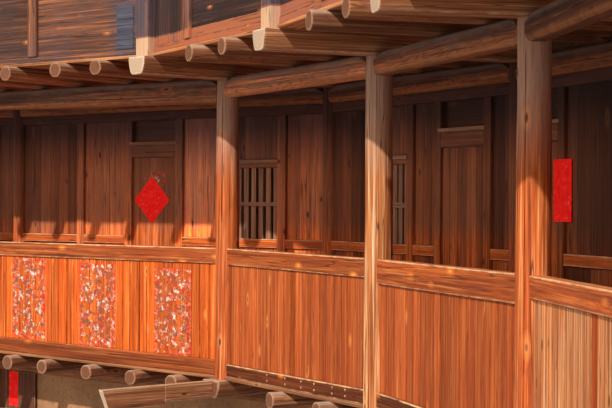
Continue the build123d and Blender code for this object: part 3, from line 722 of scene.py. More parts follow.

# The shades entry of beamWood is painted shade, with smoke: the top of each ring beam darkens under the joists and
# floor above
beamWood = woodMaterial(
    "beamWood", light=(196, 115, 72), dark=(124, 70, 45), late=(80, 43, 29), figure=0.6, rings=90.0, wander=0.16,
    shades=((3.07, 3.13, (72, 54, 48), 0.6),), pale=(220, 148, 96), deep=(78, 42, 28), stained=0.3, stain=(104, 70, 52),
    dust=(138, 124, 112), dusty=0.75, dustFrom=0.0, edge=(186, 120, 70), halo=(190, 120, 64), toneStep=0.35)
joistWood = woodMaterial(
    "joistWood", light=(182, 112, 72), dark=(124, 73, 50), late=(88, 46, 28), pale=(226, 164, 112), stained=0.3,
    stain=(104, 70, 50), dust=(214, 194, 168), dusty=0.55, dustFrom=0.4, end=(122, 78, 52), endShare=0.92,
    endRings=0.5, edge=(186, 140, 104), rubbed=0.75, wearReach=0.55, toneStep=0.3)
mainWood = woodMaterial(
    "mainWood", light=(206, 136, 88), dark=(150, 90, 54), late=(98, 56, 34), pale=(236, 186, 138), stained=0.25,
    stain=(112, 76, 54), dust=(214, 194, 168), dusty=0.5, dustFrom=0.4, end=(212, 178, 144), endShare=0.95,
    endRings=0.5, edge=(236, 206, 172), rubbed=0.8)
# The shades entry of postLook is painted shade, partly weathering: the posts turn greyer above about 2.3 m, where the
# upper storey shades them
postLook = {
    "light": (222, 112, 52), "dark": (172, 72, 30), "late": (126, 50, 24), "figure": 0.3, "rings": 55.0, "wander": 0.08,
    "pale": (252, 172, 104), "paleShare": 0.95, "deep": (112, 42, 18), "deepShare": 0.95, "stained": 0.25,
    "stain": (176, 84, 42), "shades": ((2.30, 2.80, (182, 142, 118), 0.85),), "dusty": 0.2, "bump": 0.9,
    "edge": (250, 190, 130), "rubbed": 0.4, "halo": (240, 160, 90), "cracked": 0.7,
}
postWood = woodMaterial("postWood", postLook)
palePostWood = woodMaterial("palePostWood", postLook, light=(222, 142, 78), dark=(178, 92, 42), late=(140, 74, 36),
                            pale=(246, 206, 156), stain=(190, 110, 62))
floorWood = woodMaterial("floorWood", light=(206, 128, 74), dark=(150, 84, 48), pale=(232, 176, 124),
                         dust=(186, 156, 128), dustFrom=0.6, edge=(196, 132, 84), rubbed=0.4)
boardLook = {
    "light": (242, 114, 34), "dark": (196, 70, 20), "late": (140, 46, 16), "figure": 0.3, "rings": 140.0,
    "pale": (250, 168, 92), "deep": (140, 48, 16), "stained": 0.25, "stain": (170, 66, 26), "edge": (80, 30, 14),
    "rubbed": 0.55, "wearReach": 0.3, "knot": (110, 44, 18), "knotSize": 0.075, "halo": (250, 160, 80),
    "haloShare": 0.5, "crack": (96, 36, 14), "cracked": 0.5, "toneStep": 0.22, "dusty": 0.05,
}
parapetWood = woodMaterial("parapetWood", boardLook)
weatheredWood = woodMaterial(
    "weatheredWood", light=(242, 152, 88), dark=(190, 98, 50), late=(150, 76, 38), rings=120.0, pale=(255, 214, 160),
    paleShare=0.75, deep=(138, 72, 40), deepShare=0.7, stained=0.3, stain=(176, 100, 60), edge=(110, 60, 34),
    rubbed=0.6, wearReach=0.3, crack=(80, 40, 22), toneStep=0.18, dusty=0.2)
railWood = woodMaterial(
    "railWood", light=(216, 104, 44), dark=(140, 58, 26), late=(92, 38, 18), rings=120.0, wander=0.06,
    pale=(244, 156, 84), deep=(104, 48, 26), deepShare=0.65, stained=0.3, stain=(138, 72, 42), edge=(246, 190, 138),
    rubbed=0.85, knot=(255, 160, 66), halo=(236, 128, 56), haloShare=0.7, knotSize=0.085, dust=(240, 176, 116),
    dusty=0.35, dustFrom=0.6, toneStep=0.30)
# Painted sunlight and shade on the room front: bright orange boards below about 1.9 m where the sun falls, brown above,
# and dark towards the ceiling, which is partly soot
roomPaintedShade = ((1.84, 2.00, (140, 92, 66), 0.6), (2.42, 2.84, (66, 46, 44), 0.85))
roomWood = woodMaterial(
    "roomWood", light=(255, 122, 48), dark=(184, 76, 30), late=(100, 40, 20), rings=120.0, pale=(250, 158, 90),
    paleShare=0.55, deep=(84, 38, 20), deepShare=0.75, stained=0.5, stain=(126, 84, 64), edge=(48, 24, 14),
    wearReach=0.3, toneStep=0.45, dusty=0.5, dust=(150, 134, 118), knot=(60, 32, 22), halo=(150, 96, 60),
    haloShare=0.3, crack=(36, 18, 12), shades=roomPaintedShade)
roomRailWood = woodMaterial(
    "roomRailWood", light=(255, 128, 52), dark=(206, 84, 34), late=(140, 56, 26), pale=(255, 160, 90), stained=0.3,
    stain=(120, 62, 40), edge=(246, 196, 146), rubbed=0.8, dusty=0.5, dust=(160, 144, 128), shades=roomPaintedShade)
barWood = woodMaterial("barWood", light=(194, 132, 98), dark=(140, 92, 70), late=(96, 62, 48), pale=(220, 160, 116),
                       edge=(196, 146, 108), rubbed=0.4, dusty=0.4, dust=(164, 140, 120), stained=0.2)
# Painted shade: the window shutters are coloured as dark as the shaded room behind the bars
darkWood = woodMaterial("darkWood", light=(104, 62, 42), dark=(66, 38, 26), late=(50, 28, 20), pale=(130, 84, 58),
                        edge=(52, 30, 22))
# Painted shade and sunlight: the upper parapet's wood is coloured dark for the shade of the storey above, and its foot
# and bare colours are the painted sunlit colours at its foot
upperWood = woodMaterial(
    "upperWood", light=(134, 84, 60), dark=(96, 60, 48), late=(62, 42, 34), figure=0.26, wander=0.12,
    foot=(176, 94, 54), bare=(218, 170, 126), pale=(204, 124, 74), paleShare=0.7, deep=(62, 44, 40), deepShare=0.4,
    stained=0.75, stain=(78, 76, 86), stainScale=1.1, knot=(224, 132, 60), halo=(176, 104, 60), haloShare=0.6,
    knotSize=0.075, edge=(48, 34, 30), rubbed=0.7, wearReach=0.3, crack=(34, 24, 22), dusty=0.2, dust=(120, 112, 108),
    toneStep=0.35)
slateWood = woodMaterial(
    "slateWood", light=(84, 84, 96), dark=(58, 58, 72), late=(44, 42, 52), pale=(112, 108, 118), deep=(44, 44, 56),
    stained=0.3, stain=(96, 80, 76), edge=(40, 38, 46), halo=(96, 88, 90), knot=(60, 50, 50), dusty=0.2,
    dust=(120, 116, 120))
armWood = woodMaterial(
    "armWood", light=(196, 128, 84), dark=(138, 84, 52), late=(104, 60, 36), pale=(232, 184, 140), paleShare=0.6,
    deep=(104, 58, 34), deepShare=0.7, stain=(120, 82, 60), edge=(226, 184, 140), rubbed=0.7, wearReach=0.4,
    end=(226, 200, 166), endRings=0.4, dust=(214, 180, 140), dustFrom=0.5)
shadedBoardWood = woodMaterial("shadedBoardWood", boardLook, light=(204, 100, 44), dark=(164, 68, 28),
                               late=(124, 46, 18), pale=(232, 146, 82), deep=(112, 42, 16), stain=(146, 60, 28))
iron = ironMaterial()
tornPaper = paperMaterial("tornPaper", {
    "white": (246, 212, 184), "pink": (216, 98, 62), "red": (212, 30, 22), "brown": (116, 78, 54), "patches": 24.0,
    "rim": 0.07, "low": 0.37, "high": 0.535, "specks": 0.8, "middle": 0.8, "paintedGlow": 0.0})
# redPaper has a painted glow
redPaper = paperMaterial("redPaper", {
    "white": (255, 90, 70), "pink": (250, 34, 26), "red": (236, 22, 18), "brown": (170, 20, 14), "patches": 30.0,
    "rim": -0.02, "low": 0.30, "high": 0.48, "specks": 0.2, "middle": 0.0, "paintedGlow": 0.25})
infillWood = woodMaterial("infillWood", light=(112, 66, 42), dark=(78, 46, 30), late=(60, 34, 24), pale=(136, 86, 58),
                          toneStep=0.0, endShare=0.0, rubbed=0.0, fromPlace=True)
lowerBoardWood = woodMaterial("lowerBoardWood", light=(132, 74, 48), dark=(92, 50, 32), late=(70, 38, 26),
                              pale=(166, 106, 74), dusty=0.5)
plaster = plasterMaterial()

seeds = iter(range(11, 90000, 7))


def alongBay(bay, left, right, offset, height, settled, section, seed, **more):
    # A timber along a bay between two distances from its left post, its middle at this offset and height
    start, end = (bayPoint(bay, distance, offset, height, settled) for distance in (left, right))
    return timberGrid({"start": start, "end": end, "upright": up, "section": section, "seed": seed, **more})


def layAlong(bay, left, right, offset, low, high, depth, settled=False, rounding=0.006, **more):
    # The same for a sawn timber between two heights
    section = boxSection(depth, high - low, rounding)
    return alongBay(bay, left, right, offset, (low + high) / 2, settled, section, next(seeds), **more)


def layUpright(bay, left, right, low, high, face, thickness, onFloor=False, rounding=0.003, **more):
    # An upright board of a bay, from its left to its right edge, behind its face
    middle, offset = (left + right) / 2, face + thickness / 2
    return timberGrid({
        "start": bayPoint(bay, middle, offset, low - onFloor * sunkAt(bay, middle)),
        "end": bayPoint(bay, middle, offset, high), "upright": awayFrom(gallery["headings"][bay]),
        "section": boxSection(right - left, thickness, rounding), "seed": next(seeds), **more})


def drawnBoard(bay, left, right, low, high, face, thickness, spread, shade=0.0, **more):
    # An upright board with a tone and a pith of its own
    draw = np.random.default_rng(next(seeds))
    return layUpright(bay, left, right, low, high, face, thickness, waver=0.0009,
                      tone=draw.uniform(-spread, spread) + shade,
                      pith=(draw.uniform(-0.05, 0.05), draw.uniform(0.03, 0.12)), **more)


def standAtPost(post, offset, low, high, section, seed, **more):
    # An upright timber on a post line, turned as the post is
    return timberGrid({
        "start": postPoint(post, offset, low), "end": postPoint(post, offset, high),
        "upright": awayFrom(postHeadings[post]), "section": section, "seed": seed, **more})


def splitBoards(left, right, width, gap, seed):
    # Edges of boards of uneven width that fill a panel, with a joint between each two
    count = max(1, int(round((right - left) / width)))
    shares = np.random.default_rng(seed).uniform(0.8, 1.2, count)
    edges = left + np.concatenate([[0], np.cumsum(shares / shares.sum())]) * (right - left)
    return [(a + gap / 2 * (n > 0), b - gap / 2 * (n < count - 1))
            for n, (a, b) in enumerate(zip(edges[:-1], edges[1:]))]


def fillBoards(bay, left, right, low, high, face, thickness, width=0.15, shade=0.0, ringStep=0.2):
    # Boards that fill a field and overlap a little, so that no light shows between them
    overlap, spread = -0.002, 0.9
    return [drawnBoard(bay, a, b, low, high, face, thickness, spread, shade, ringStep=ringStep)
            for a, b in splitBoards(left, right, width, overlap, next(seeds))]


mainBeam = {"width": 0.226, "foot": 0.150, "depth": 0.146, "rounding": 0.030}
joist = {
    "diameter": 0.132, "depth": 0.124,
    "floorPlaces": ((0.480, 0.980, 1.500, 1.980), (0.490, 0.970, 1.520, 2.100, 2.570, 3.060, 3.500), (0.600, 1.350),
                    (0.560, 1.210), (0.560, 1.210)),
    "ceilingPlaces": ((0.500, 1.040, 1.560, 2.020), (0.660, 1.140, 1.765, 2.280, 2.800, 3.310), (0.665, 1.245),
                      (0.550, 1.205), (0.550, 1.205)),
}
ringBeam = {
    "width": 0.150, "depth": 0.162, "rounding": 0.048, "shoulder": (0.110, 0.060), "lowerInset": 0.053,
    "frontInset": 0.070, "innerInset": 0.058, "growth": (0, 0.045, 0, 0, 0), "frontShades": (0, 0, 3.6, -0.2, -1.7),
}
floorBoard = {"width": 0.19, "thickness": 0.025, "joint": 0.003, "endJoint": 0.006, "front": -0.059,
              "upperFront": -0.789, "upperShades": (-1.0, -1.0, 2.0, 2.0, 2.0)}
unchanged = (0, 0, 0, 0, 0)


def mainBeams(front, low, settled=False):
    parts = []
    for post in posts:
        middle = low + mainBeam["depth"] / 2 - settled * gallery["sunk"][post]
        parts.append(timberGrid({
            "start": postPoint(post, front, middle), "end": postPoint(post, gallery["tail"], middle), "upright": up,
            "section": hewnSection(**mainBeam), "seed": next(seeds), "waver": 0.002, "endRounding": 0.008,
            "tone": 0.2, "pith": (0.01, -0.03)}))
    return parts


def joists(places, front, low, settled):
    parts = []
    middle = low + joist["depth"] / 2
    for bay in bays:
        for place in places[bay]:
            distance, seed = gallery["bayWidths"][bay] - place, next(seeds)
            draw = np.random.default_rng(seed)
            parts.append(timberGrid({
                "start": bayPoint(bay, distance, front, middle, settled),
                "end": bayPoint(bay, distance, gallery["tail"], middle, settled), "upright": up,
                "section": logSection(joist["diameter"], joist["depth"]), "seed": seed, "waver": 0.003,
                "endRounding": 0.007, "tone": draw.uniform(-1, 1), "pith": tuple(draw.uniform(-0.012, 0.012, 2)),
                "cracks": ((draw.uniform(0.05, 0.45), -0.2, draw.uniform(0.3, 0.7), 0.014, 0.005),)}))
    return parts


def ringBeams(offset, low, inset, settled=False, growth=unchanged, shades=unchanged):
    parts = []
    section = boxSection(ringBeam["width"], ringBeam["depth"], ringBeam["rounding"])
    for bay in bays:
        seed = next(seeds)
        draw = np.random.default_rng(seed)
        parts.append(alongBay(
            bay, *lineEnds(bay, offset, inset), offset, low + ringBeam["depth"] / 2, settled, section, seed,
            waver=0.0035, corner=0.012, ringStep=0.05, shoulder=ringBeam["shoulder"], deepens=growth[bay],
            tone=draw.uniform(-0.2, 0.2) + shades[bay], pith=(draw.uniform(-0.02, 0.02), draw.uniform(-0.05, 0.02)),
            cracks=((draw.uniform(0.42, 0.48), 0.05, 0.9, 0.016, 0.009),
                    (draw.uniform(0.60, 0.68), 0.35, 0.95, 0.008, 0.004))))
    return parts


def floorField(front, low, settled, shades=unchanged):
    # Boards of uneven width along every bay, the front one with the bay's shade
    parts = []
    edges = splitBoards(front, gallery["tail"], floorBoard["width"], floorBoard["joint"], int(low * 100))
    for bay in bays:
        for near, far in edges:
            middle = (near + far) / 2
            tone = np.random.default_rng(next(seeds)).uniform(-1, 1, 1)[0] + shades[bay] * (near == edges[0][0])
            parts.append(layAlong(
                bay, *lineEnds(bay, middle, floorBoard["endJoint"] / 2), middle, low, low + floorBoard["thickness"],
                far - near, settled, slant=(-tangent(bay), tangent(bay + 1)), rounding=0.003, ringStep=0.25, tone=tone,
                pith=(0.0, -0.08)))
    return parts


lowerFront = -(0.045 + gallery["logOverhang"])
upperFront = -gallery["projection"] + lowerFront
addPiece("floorMainBeams", mainBeams(lowerFront, level["mainBeam"], True), joistWood, "joist_timber",
         "floor_main_beams")
addPiece("floorJoists", joists(joist["floorPlaces"], lowerFront, level["joist"], True), joistWood, "joist_timber",
         "floor_joists")
addPiece("lowerRingBeams", ringBeams(gallery["projection"], level["beam"], ringBeam["lowerInset"], True), beamWood,
         "beam_timber", "lower_ring_beams")
addPiece("floorBoards", floorField(floorBoard["front"], level["deck"], True), floorWood, "floor_timber",
         "floor_boards")
addPiece("ceilingMainBeams", mainBeams(upperFront, level["postHead"]), mainWood, "joist_timber", "ceiling_main_beams")
addPiece("ceilingJoists", joists(joist["ceilingPlaces"], upperFront, level["ceilingJoist"], False), joistWood,
         "joist_timber", "ceiling_joists")
frontBeams = ringBeams(0.0, level["ceilingBeam"], ringBeam["frontInset"], growth=ringBeam["growth"],
                       shades=ringBeam["frontShades"])
addPiece("frontRingBeams", frontBeams, beamWood, "beam_timber", "front_ring_beams")
innerBeams = ringBeams(gallery["roomLine"], level["ceilingBeam"], ringBeam["innerInset"])
addPiece("innerRingBeams", innerBeams, beamWood, "beam_timber", "inner_ring_beams")
upperFloor = floorField(floorBoard["upperFront"], level["upperDeck"], False, floorBoard["upperShades"])
addPiece("upperFloorBoards", upperFloor, floorWood, "floor_timber", "upper_floor_boards")
print("floor and ceiling frames are built")

postSize = {"front": 0.204, "inner": 0.160, "taper": (1.0, 0.902)}
postCracks = (
    ((0.62, 0.1, 0.8, 0.010, 0.004),),
    ((0.70, 0.2, 0.9, 0.010, 0.004),),
    ((0.815, 0.52, 0.97, 0.022, 0.007), (0.90, 0.30, 0.78, 0.012, 0.004), (0.74, 0.02, 0.55, 0.007, 0.003)),
    ((0.80, 0.05, 0.95, 0.014, 0.005), (0.90, 0.45, 0.98, 0.010, 0.004)),
    ((0.86, 0.05, 0.96, 0.020, 0.007), (0.76, 0.3, 0.8, 0.008, 0.003)),
    ((0.66, 0.1, 0.9, 0.010, 0.004),),
)
for post in posts:
    upright = standAtPost(
        post, 0.0, level["deck"] - gallery["sunk"][post], level["postHead"], logSection(postSize["front"]),
        500 + post * 3, taper=postSize["taper"], waver=0.0035, ringStep=0.04, cracks=postCracks[post],
        endRounding=0.003, spacing=0.02)
    addPiece(f"frontPost{post + 1}", [upright], palePostWood if post == 3 else postWood, "post_timber",
             f"front_post_{post + 1}")
innerPosts = [standAtPost(post, gallery["roomLine"], level["deck"] - gallery["sunk"][post], level["postHead"],
                          logSection(postSize["inner"]), 540 + post, waver=0.003) for post in posts]
addPiece("innerPosts", innerPosts, roomWood, "post_timber", "inner_posts")

parapet = {
    "inset": 0.070, "railHeights": (0.130, 0.130, 0.135, 0.168, 0.124), "depth": 0.090,
    "sillHeights": (0.128, 0.128, 0.105, 0.105, 0.105), "stile": 0.084, "panels": (3, 4, 2, 2, 2),
    "boardWidth": (0.12, 0.107, 0.10, 0.11, 0.11), "joint": 0.003, "openJoint": 0.009,
    "board": 0.025, "boardFace": -0.024, "stileDepth": 0.050, "stileFace": -0.025, "lath": 0.020, "lathDepth": 0.006,
    "railTones": (-0.3, -0.3, -0.8, -0.2, 0.5), "sillTones": (-1.4, -1.3, -2.3, -2.3, -2.9),
    "stileTones": (0, 0, -2.5, -2.5, -1.4), "sillEdges": (0.4, 0.4, 1.0, 1.0, 1.0),
    "woods": (parapetWood, parapetWood, shadedBoardWood, shadedBoardWood, weatheredWood),
}


def panelEdges(bay):
    count, inset, stile = parapet["panels"][bay], parapet["inset"], parapet["stile"]
    panel = (gallery["bayWidths"][bay] - 2 * inset - (count - 1) * stile) / count
    lefts = [inset + n * (panel + stile) for n in range(count)]
    return [(left, left + panel) for left in lefts]


def parapetTimbers():
    rails, sills, stiles, boards = [], [], [], []
    floor, railTop, depth = level["floor"], level["railTop"], parapet["depth"]
    hewn = {"rounding": 0.009, "waver": 0.002, "ringStep": 0.06}
    for bay in bays:
        ends = parapet["inset"], gallery["bayWidths"][bay] - parapet["inset"]
        bottom, sillTop = railTop - parapet["railHeights"][bay], floor + parapet["sillHeights"][bay]
        rails.append(layAlong(bay, *ends, 0.0, bottom, railTop, depth, tone=parapet["railTones"][bay],
                              pith=(0.02, -0.02), **hewn))
        sills.append(layAlong(bay, *ends, 0.0, floor, sillTop, depth, True, tone=parapet["sillTones"][bay],
                              pith=(0.0, 0.03), **hewn))
        sills[-1][3]["edge"] *= parapet["sillEdges"][bay]
        edges = panelEdges(bay)
        for left, right in edges[:-1]:
            stiles.append(layUpright(bay, right, right + parapet["stile"], sillTop, bottom, parapet["stileFace"],
                                     parapet["stileDepth"], True, tone=parapet["stileTones"][bay],
                                     pith=(0.03, 0.05)))
        panel = []
        for left, right in edges:
            # A lath behind the open joint beside each stile, dark in tone: painted shade seen through the joint
            panel.append(layUpright(bay, right - parapet["lath"], right, sillTop, bottom, 0.0,
                                    parapet["lathDepth"], True, rounding=0.001, tone=-2.5))
            clear, width = right - parapet["openJoint"], parapet["boardWidth"][bay]
            for a, b in splitBoards(left, clear, width, parapet["joint"], next(seeds)):
                panel.append(drawnBoard(bay, a, b, sillTop, bottom, parapet["boardFace"], parapet["board"], 1,
                                        onFloor=True))
        boards.append(panel)
    return rails, sills, stiles, boards


railParts, sillParts, stileParts, boardParts = parapetTimbers()
addPiece("parapetRails", railParts, railWood, "parapet_timber", "parapet_rails")
addPiece("parapetSills", sillParts, railWood, "parapet_timber", "parapet_sills")
addPiece("parapetStiles", stileParts, parapetWood, "parapet_timber", "parapet_stiles")
for bay in bays:
    addPiece(f"parapetBoards{bay + 1}", boardParts[bay], parapet["woods"][bay], "parapet_timber",
             f"parapet_boards_{bay + 1}")

tornSheet = {"bay": 1, "step": 0.0045, "proud": 0.0012, "sunk": 0.004, "keep": 0.5, "rim": 1.2, "face": -0.0245,
             "settled": 1}
tornSheets = (
    {"left": 1.083, "right": 1.533, "low": 0.858, "high": 1.597, "seed": 71},
    {"left": 1.992, "right": 2.445, "low": 0.845, "high": 1.588, "seed": 72},
    {"left": 2.923, "right": 3.356, "low": 0.850, "high": 1.580, "seed": 73},
)
nails = {"bay": 2, "face": -0.0455, "radius": 0.010, "distances": (0.847, 1.158, 1.422, 1.629, 1.905, 2.097),
         "heights": (0.745, 0.790)}
nailHeads = [nailHead(nails["bay"], distance, nails["face"], height, nails["radius"])
             for distance in nails["distances"] for height in nails["heights"]]
addPiece("tornPaper", [flakedSheet({**tornSheet, **sheet}) for sheet in tornSheets], tornPaper, "parapet_timber")
addPiece("nailHeads", nailHeads, iron, "parapet_timber")
print("parapet is built")

# Each field's kind, and its share of the room that doors and windows leave
roomFront = {
    "inset": 0.058, "stud": 0.096, "depth": 0.080, "board": 0.024, "door": 0.580, "window": 0.530, "shutter": 0.022,
    "shutterBoard": 0.18, "leaf": 0.036, "leafBoard": 0.12, "plans": (
        (("boards", 1.0), ("door", 0), ("boards", 1.0)),
        (("boards", 0.83), ("boards", 0.58), ("door", 0), ("boards", 0.54), ("window", 0), ("boards", 0.44)),
        (("boards", 0.63), ("window", 0), ("boards", 0.31), ("door", 0), ("boards", 0.26)),
        (("door", 0), ("boards", 1.0), ("window", 0), ("boards", 0.6)),
        (("boards", 0.5), ("door", 0), ("boards", 0.8), ("window", 0), ("boards", 0.5)),
    ),
    "shades": ((-0.4, -0.4, -0.4), (-0.3, 0.8, 0.0, 4.4, 0, 1.0), (-0.8, -0.4, -1.1, -1.1, -1.1),
               (-1.3, -1.3, -1.3, -1.3), (-1, -1, -1, -1, -1)),
    "studTones": (0, 0.9, -0.4, -1.0, -0.8), "bar": 0.055, "barDepth": 0.028, "barPitch": 0.088,
    "crossBar": (2.075, 2.115), "windowLedge": (2.466, 2.498), "doorLedge": (2.663, 2.691), "ledgeReach": 0.026,
}


def roomFields(bay):
    left, right = lineEnds(bay, gallery["roomLine"], roomFront["inset"])
    plan, stud = roomFront["plans"][bay], roomFront["stud"]
    spare = right - left - stud * (len(plan) - 1) - sum(roomFront.get(kind, 0) for kind, share in plan)
    shares = sum(share for kind, share in plan)
    fields = []
    for kind, share in plan:
        width = spare * share / shares if kind == "boards" else roomFront[kind]
        fields.append((kind, left, left + width))
        left += width + stud
    return fields


def roomTimbers():
    found = {key: [] for key in ("footPlates", "headRails", "studs", "midRails", "heads", "shutters", "lintels",
                                 "leaves", "bars", "ledges")}
    boards = []
    line, depth, board, bar = gallery["roomLine"], roomFront["depth"], roomFront["board"], roomFront["bar"]
    face, back, boardFace = line - depth / 2, line + depth / 2, line - board / 2
    foot, midRail, headRail = level["footTop"], level["midRail"], level["headRail"]
    underRail, windowTop, doorTop = midRail - depth, level["windowTop"], level["doorTop"]
    for bay in bays:
        ends, fields = lineEnds(bay, line, roomFront["inset"]), roomFields(bay)
        found["footPlates"].append(layAlong(bay, *ends, line, level["floor"], foot, depth, True))
        found["headRails"].append(layAlong(bay, *ends, line, headRail, level["ceilingBeam"], depth))
        for kind, a, b in fields[:-1]:
            found["studs"].append(layUpright(bay, b, b + roomFront["stud"], foot, headRail, face, depth,
                                             tone=roomFront["studTones"][bay]))
        panel = []
        for (kind, a, b), shade in zip(fields, roomFront["shades"][bay]):
            ledge = a - roomFront["ledgeReach"], b + roomFront["ledgeReach"]
            if kind == "door":
                panel.append(layAlong(bay, a, b, back - board / 2, level["lintelTop"], headRail, board, tone=shade,
                                      pith=(0.06, 0.02)))
                found["lintels"].append(layAlong(bay, a, b, line, doorTop, level["lintelTop"], depth))
                leaf, play = roomFront["leaf"], 0.002
                found["leaves"] += fillBoards(bay, a + play, b - play, foot, doorTop - play, line - leaf / 2, leaf,
                                              roomFront["leafBoard"])
                found["ledges"].append(layAlong(bay, *ledge, face + 0.018, *roomFront["doorLedge"], 0.060,
                                                rounding=0.005))
                continue
            low = level["windowHead"] if kind == "window" else midRail
            panel += fillBoards(bay, a, b, low, headRail, boardFace, board, shade=shade)
            found["midRails"].append(layAlong(bay, a, b, line, underRail, midRail, depth))
            panel += fillBoards(bay, a, b, foot, underRail, boardFace, board, shade=shade)
            if kind == "window":
                found["heads"].append(layAlong(bay, a, b, line, windowTop, level["windowHead"], depth))
                shutter = roomFront["shutter"]
                found["shutters"] += fillBoards(bay, a, b, midRail, windowTop, back - shutter, shutter,
                                                roomFront["shutterBoard"])
                for right in np.arange(b, a + bar * 0.9, -roomFront["barPitch"]):
                    found["bars"].append(layUpright(bay, right - bar, right, midRail, windowTop, line - 0.024,
                                                    roomFront["barDepth"], tone=0.2))
                found["bars"].append(layAlong(bay, a, b, line - 0.031, *roomFront["crossBar"], 0.016, rounding=0.004,
                                              tone=0.4))
                found["ledges"].append(layAlong(bay, *ledge, face - 0.006, *roomFront["windowLedge"], 0.030,
                                                rounding=0.005))
        boards.append(panel)
    return found, boards


roomParts, roomBoards = roomTimbers()
for pieceName, key, material, node in (
    ("roomFootPlates", "footPlates", roomWood, "wall_foot_plates"),
    ("roomHeadRails", "headRails", roomWood, "wall_head_rails"), ("roomStuds", "studs", roomWood, "wall_studs"),
    ("roomMidRails", "midRails", roomRailWood, "wall_mid_rails"), ("windowHeads", "heads", roomWood, "window_heads"),
    ("windowShutters", "shutters", darkWood, "window_shutters"), ("doorLintels", "lintels", roomWood, "door_lintels"),
    ("doorLeaves", "leaves", roomWood, "door_leaves"),
):
    addPiece(pieceName, roomParts[key], material, "room_timber", node)
addPiece("windowBars", roomParts["bars"], barWood, "room_timber")
addPiece("ledges", roomParts["ledges"], barWood, "room_timber")
for bay in bays:
    addPiece(f"roomBoards{bay + 1}", roomBoards[bay], roomWood, "room_timber", f"wall_boards_{bay + 1}")

blankPapers = {
    "diamond": {"bay": 1, "distance": 1.800, "height": 2.129, "halfWidth": 0.235, "halfHeight": 0.228, "face": 1.1035},
    "strip": {"bay": 3, "left": 0.465, "right": 0.721, "low": 1.992, "high": 2.415, "face": 1.0820, "step": 0.008,
              "proud": 0.0012, "sunk": 0.0, "keep": 4.0, "rim": 0.0, "seed": 91, "drape": 0.016},
    "flakes": {"bay": 1, "left": 1.704, "right": 1.973, "low": 2.180, "high": 2.400, "face": 1.1048, "step": 0.0055,
               "proud": 0.0008, "sunk": 0.004, "keep": 0.3, "rim": 0.2, "seed": 92},
    "low": {"bay": 1, "left": 0.165, "right": 0.374, "low": 0.030, "high": 0.385, "face": 0.7297, "step": 0.008,
            "proud": 0.0012, "sunk": 0.004, "keep": 3.0, "rim": -1.0, "seed": 93},
}


def blankDiamond(sheet):
    # A square sheet hung by a corner, curling a little off its face:
    # point = middle + along*(u - v)*halfWidth + up*(u + v - 1)*halfHeight - inward*lift(u, v)
    u, v = np.meshgrid(np.linspace(0, 1, 33), np.linspace(0, 1, 33))
    along, inward = alongLine(gallery["headings"][sheet["bay"]]), awayFrom(gallery["headings"][sheet["bay"]])
    plane = bayPoint(sheet["bay"], sheet["distance"], sheet["face"], sheet["height"])
    plane = plane + ((u - v) * sheet["halfWidth"])[..., None] * along
    plane = plane + ((u + v - 1) * sheet["halfHeight"])[..., None] * up
    edge = np.minimum(np.minimum(u, 1 - u), np.minimum(v, 1 - v))
    curl = 0.004 * np.exp(-edge / 0.05) * np.clip(waver(32, u * 4, v * 4), 0, 1)
    lift = 0.0012 + 0.0008 * waver(31, u * 3, v * 3) + curl
    back = plane + (0.0015 - lift * 0.9)[..., None] * inward
    return closedSheet(plane - lift[..., None] * inward, back, np.exp(-edge / 0.03))


addPiece("doorPaper", [blankDiamond(blankPapers["diamond"])], redPaper, "room_timber")
addPiece("wallPapers", [flakedSheet(blankPapers["strip"]), flakedSheet(blankPapers["low"])], redPaper, "room_timber")
addPiece("paperFlakes", [flakedSheet(blankPapers["flakes"])], tornPaper, "room_timber")
print("room fronts are built")

# Tones for the upper parapet: shades and firstShade are painted shade, darkening the planks where the storey above
# shades them; the foot tones paint the sunlit strip below footTop and the sunlit foot of the posts
upperParapet = {
    "inset": 0.068, "depth": 0.090, "stile": 0.110, "stileFace": 0.060, "stileDepth": 0.076,
    "stilePlaces": (1.150, 1.390, 1.480, 1.180, 1.180), "plankFace": 0.036, "plank": 0.026, "postWidth": 0.180,
    "postDepth": 0.140, "postAdvance": 0.045, "shades": (-1.0, -0.2, -2.0, -1.8, -1.5), "firstShade": -0.9,
    "footTone": 4.6, "postSunlitFootTone": 6.5, "footTop": 3.424,
    "patch": {"left": 3.208, "right": 3.396, "low": 3.350, "high": 3.700, "thickness": 0.012},
}


def paintSunlitFoot(part, footTone=upperParapet["footTone"]):
    # Painted sunlight: the foot of an upright piece gets a tone that gives it the colours of sunlit wood, below the
    # shade of the storey above
    points, quads, triangles, values = part
    foot = np.clip((upperParapet["footTop"] - points[:, 2]) / 0.012 + 0.5, 0, 1)
    return points, quads, triangles, {**values, "tone": values["tone"] + foot * footTone}


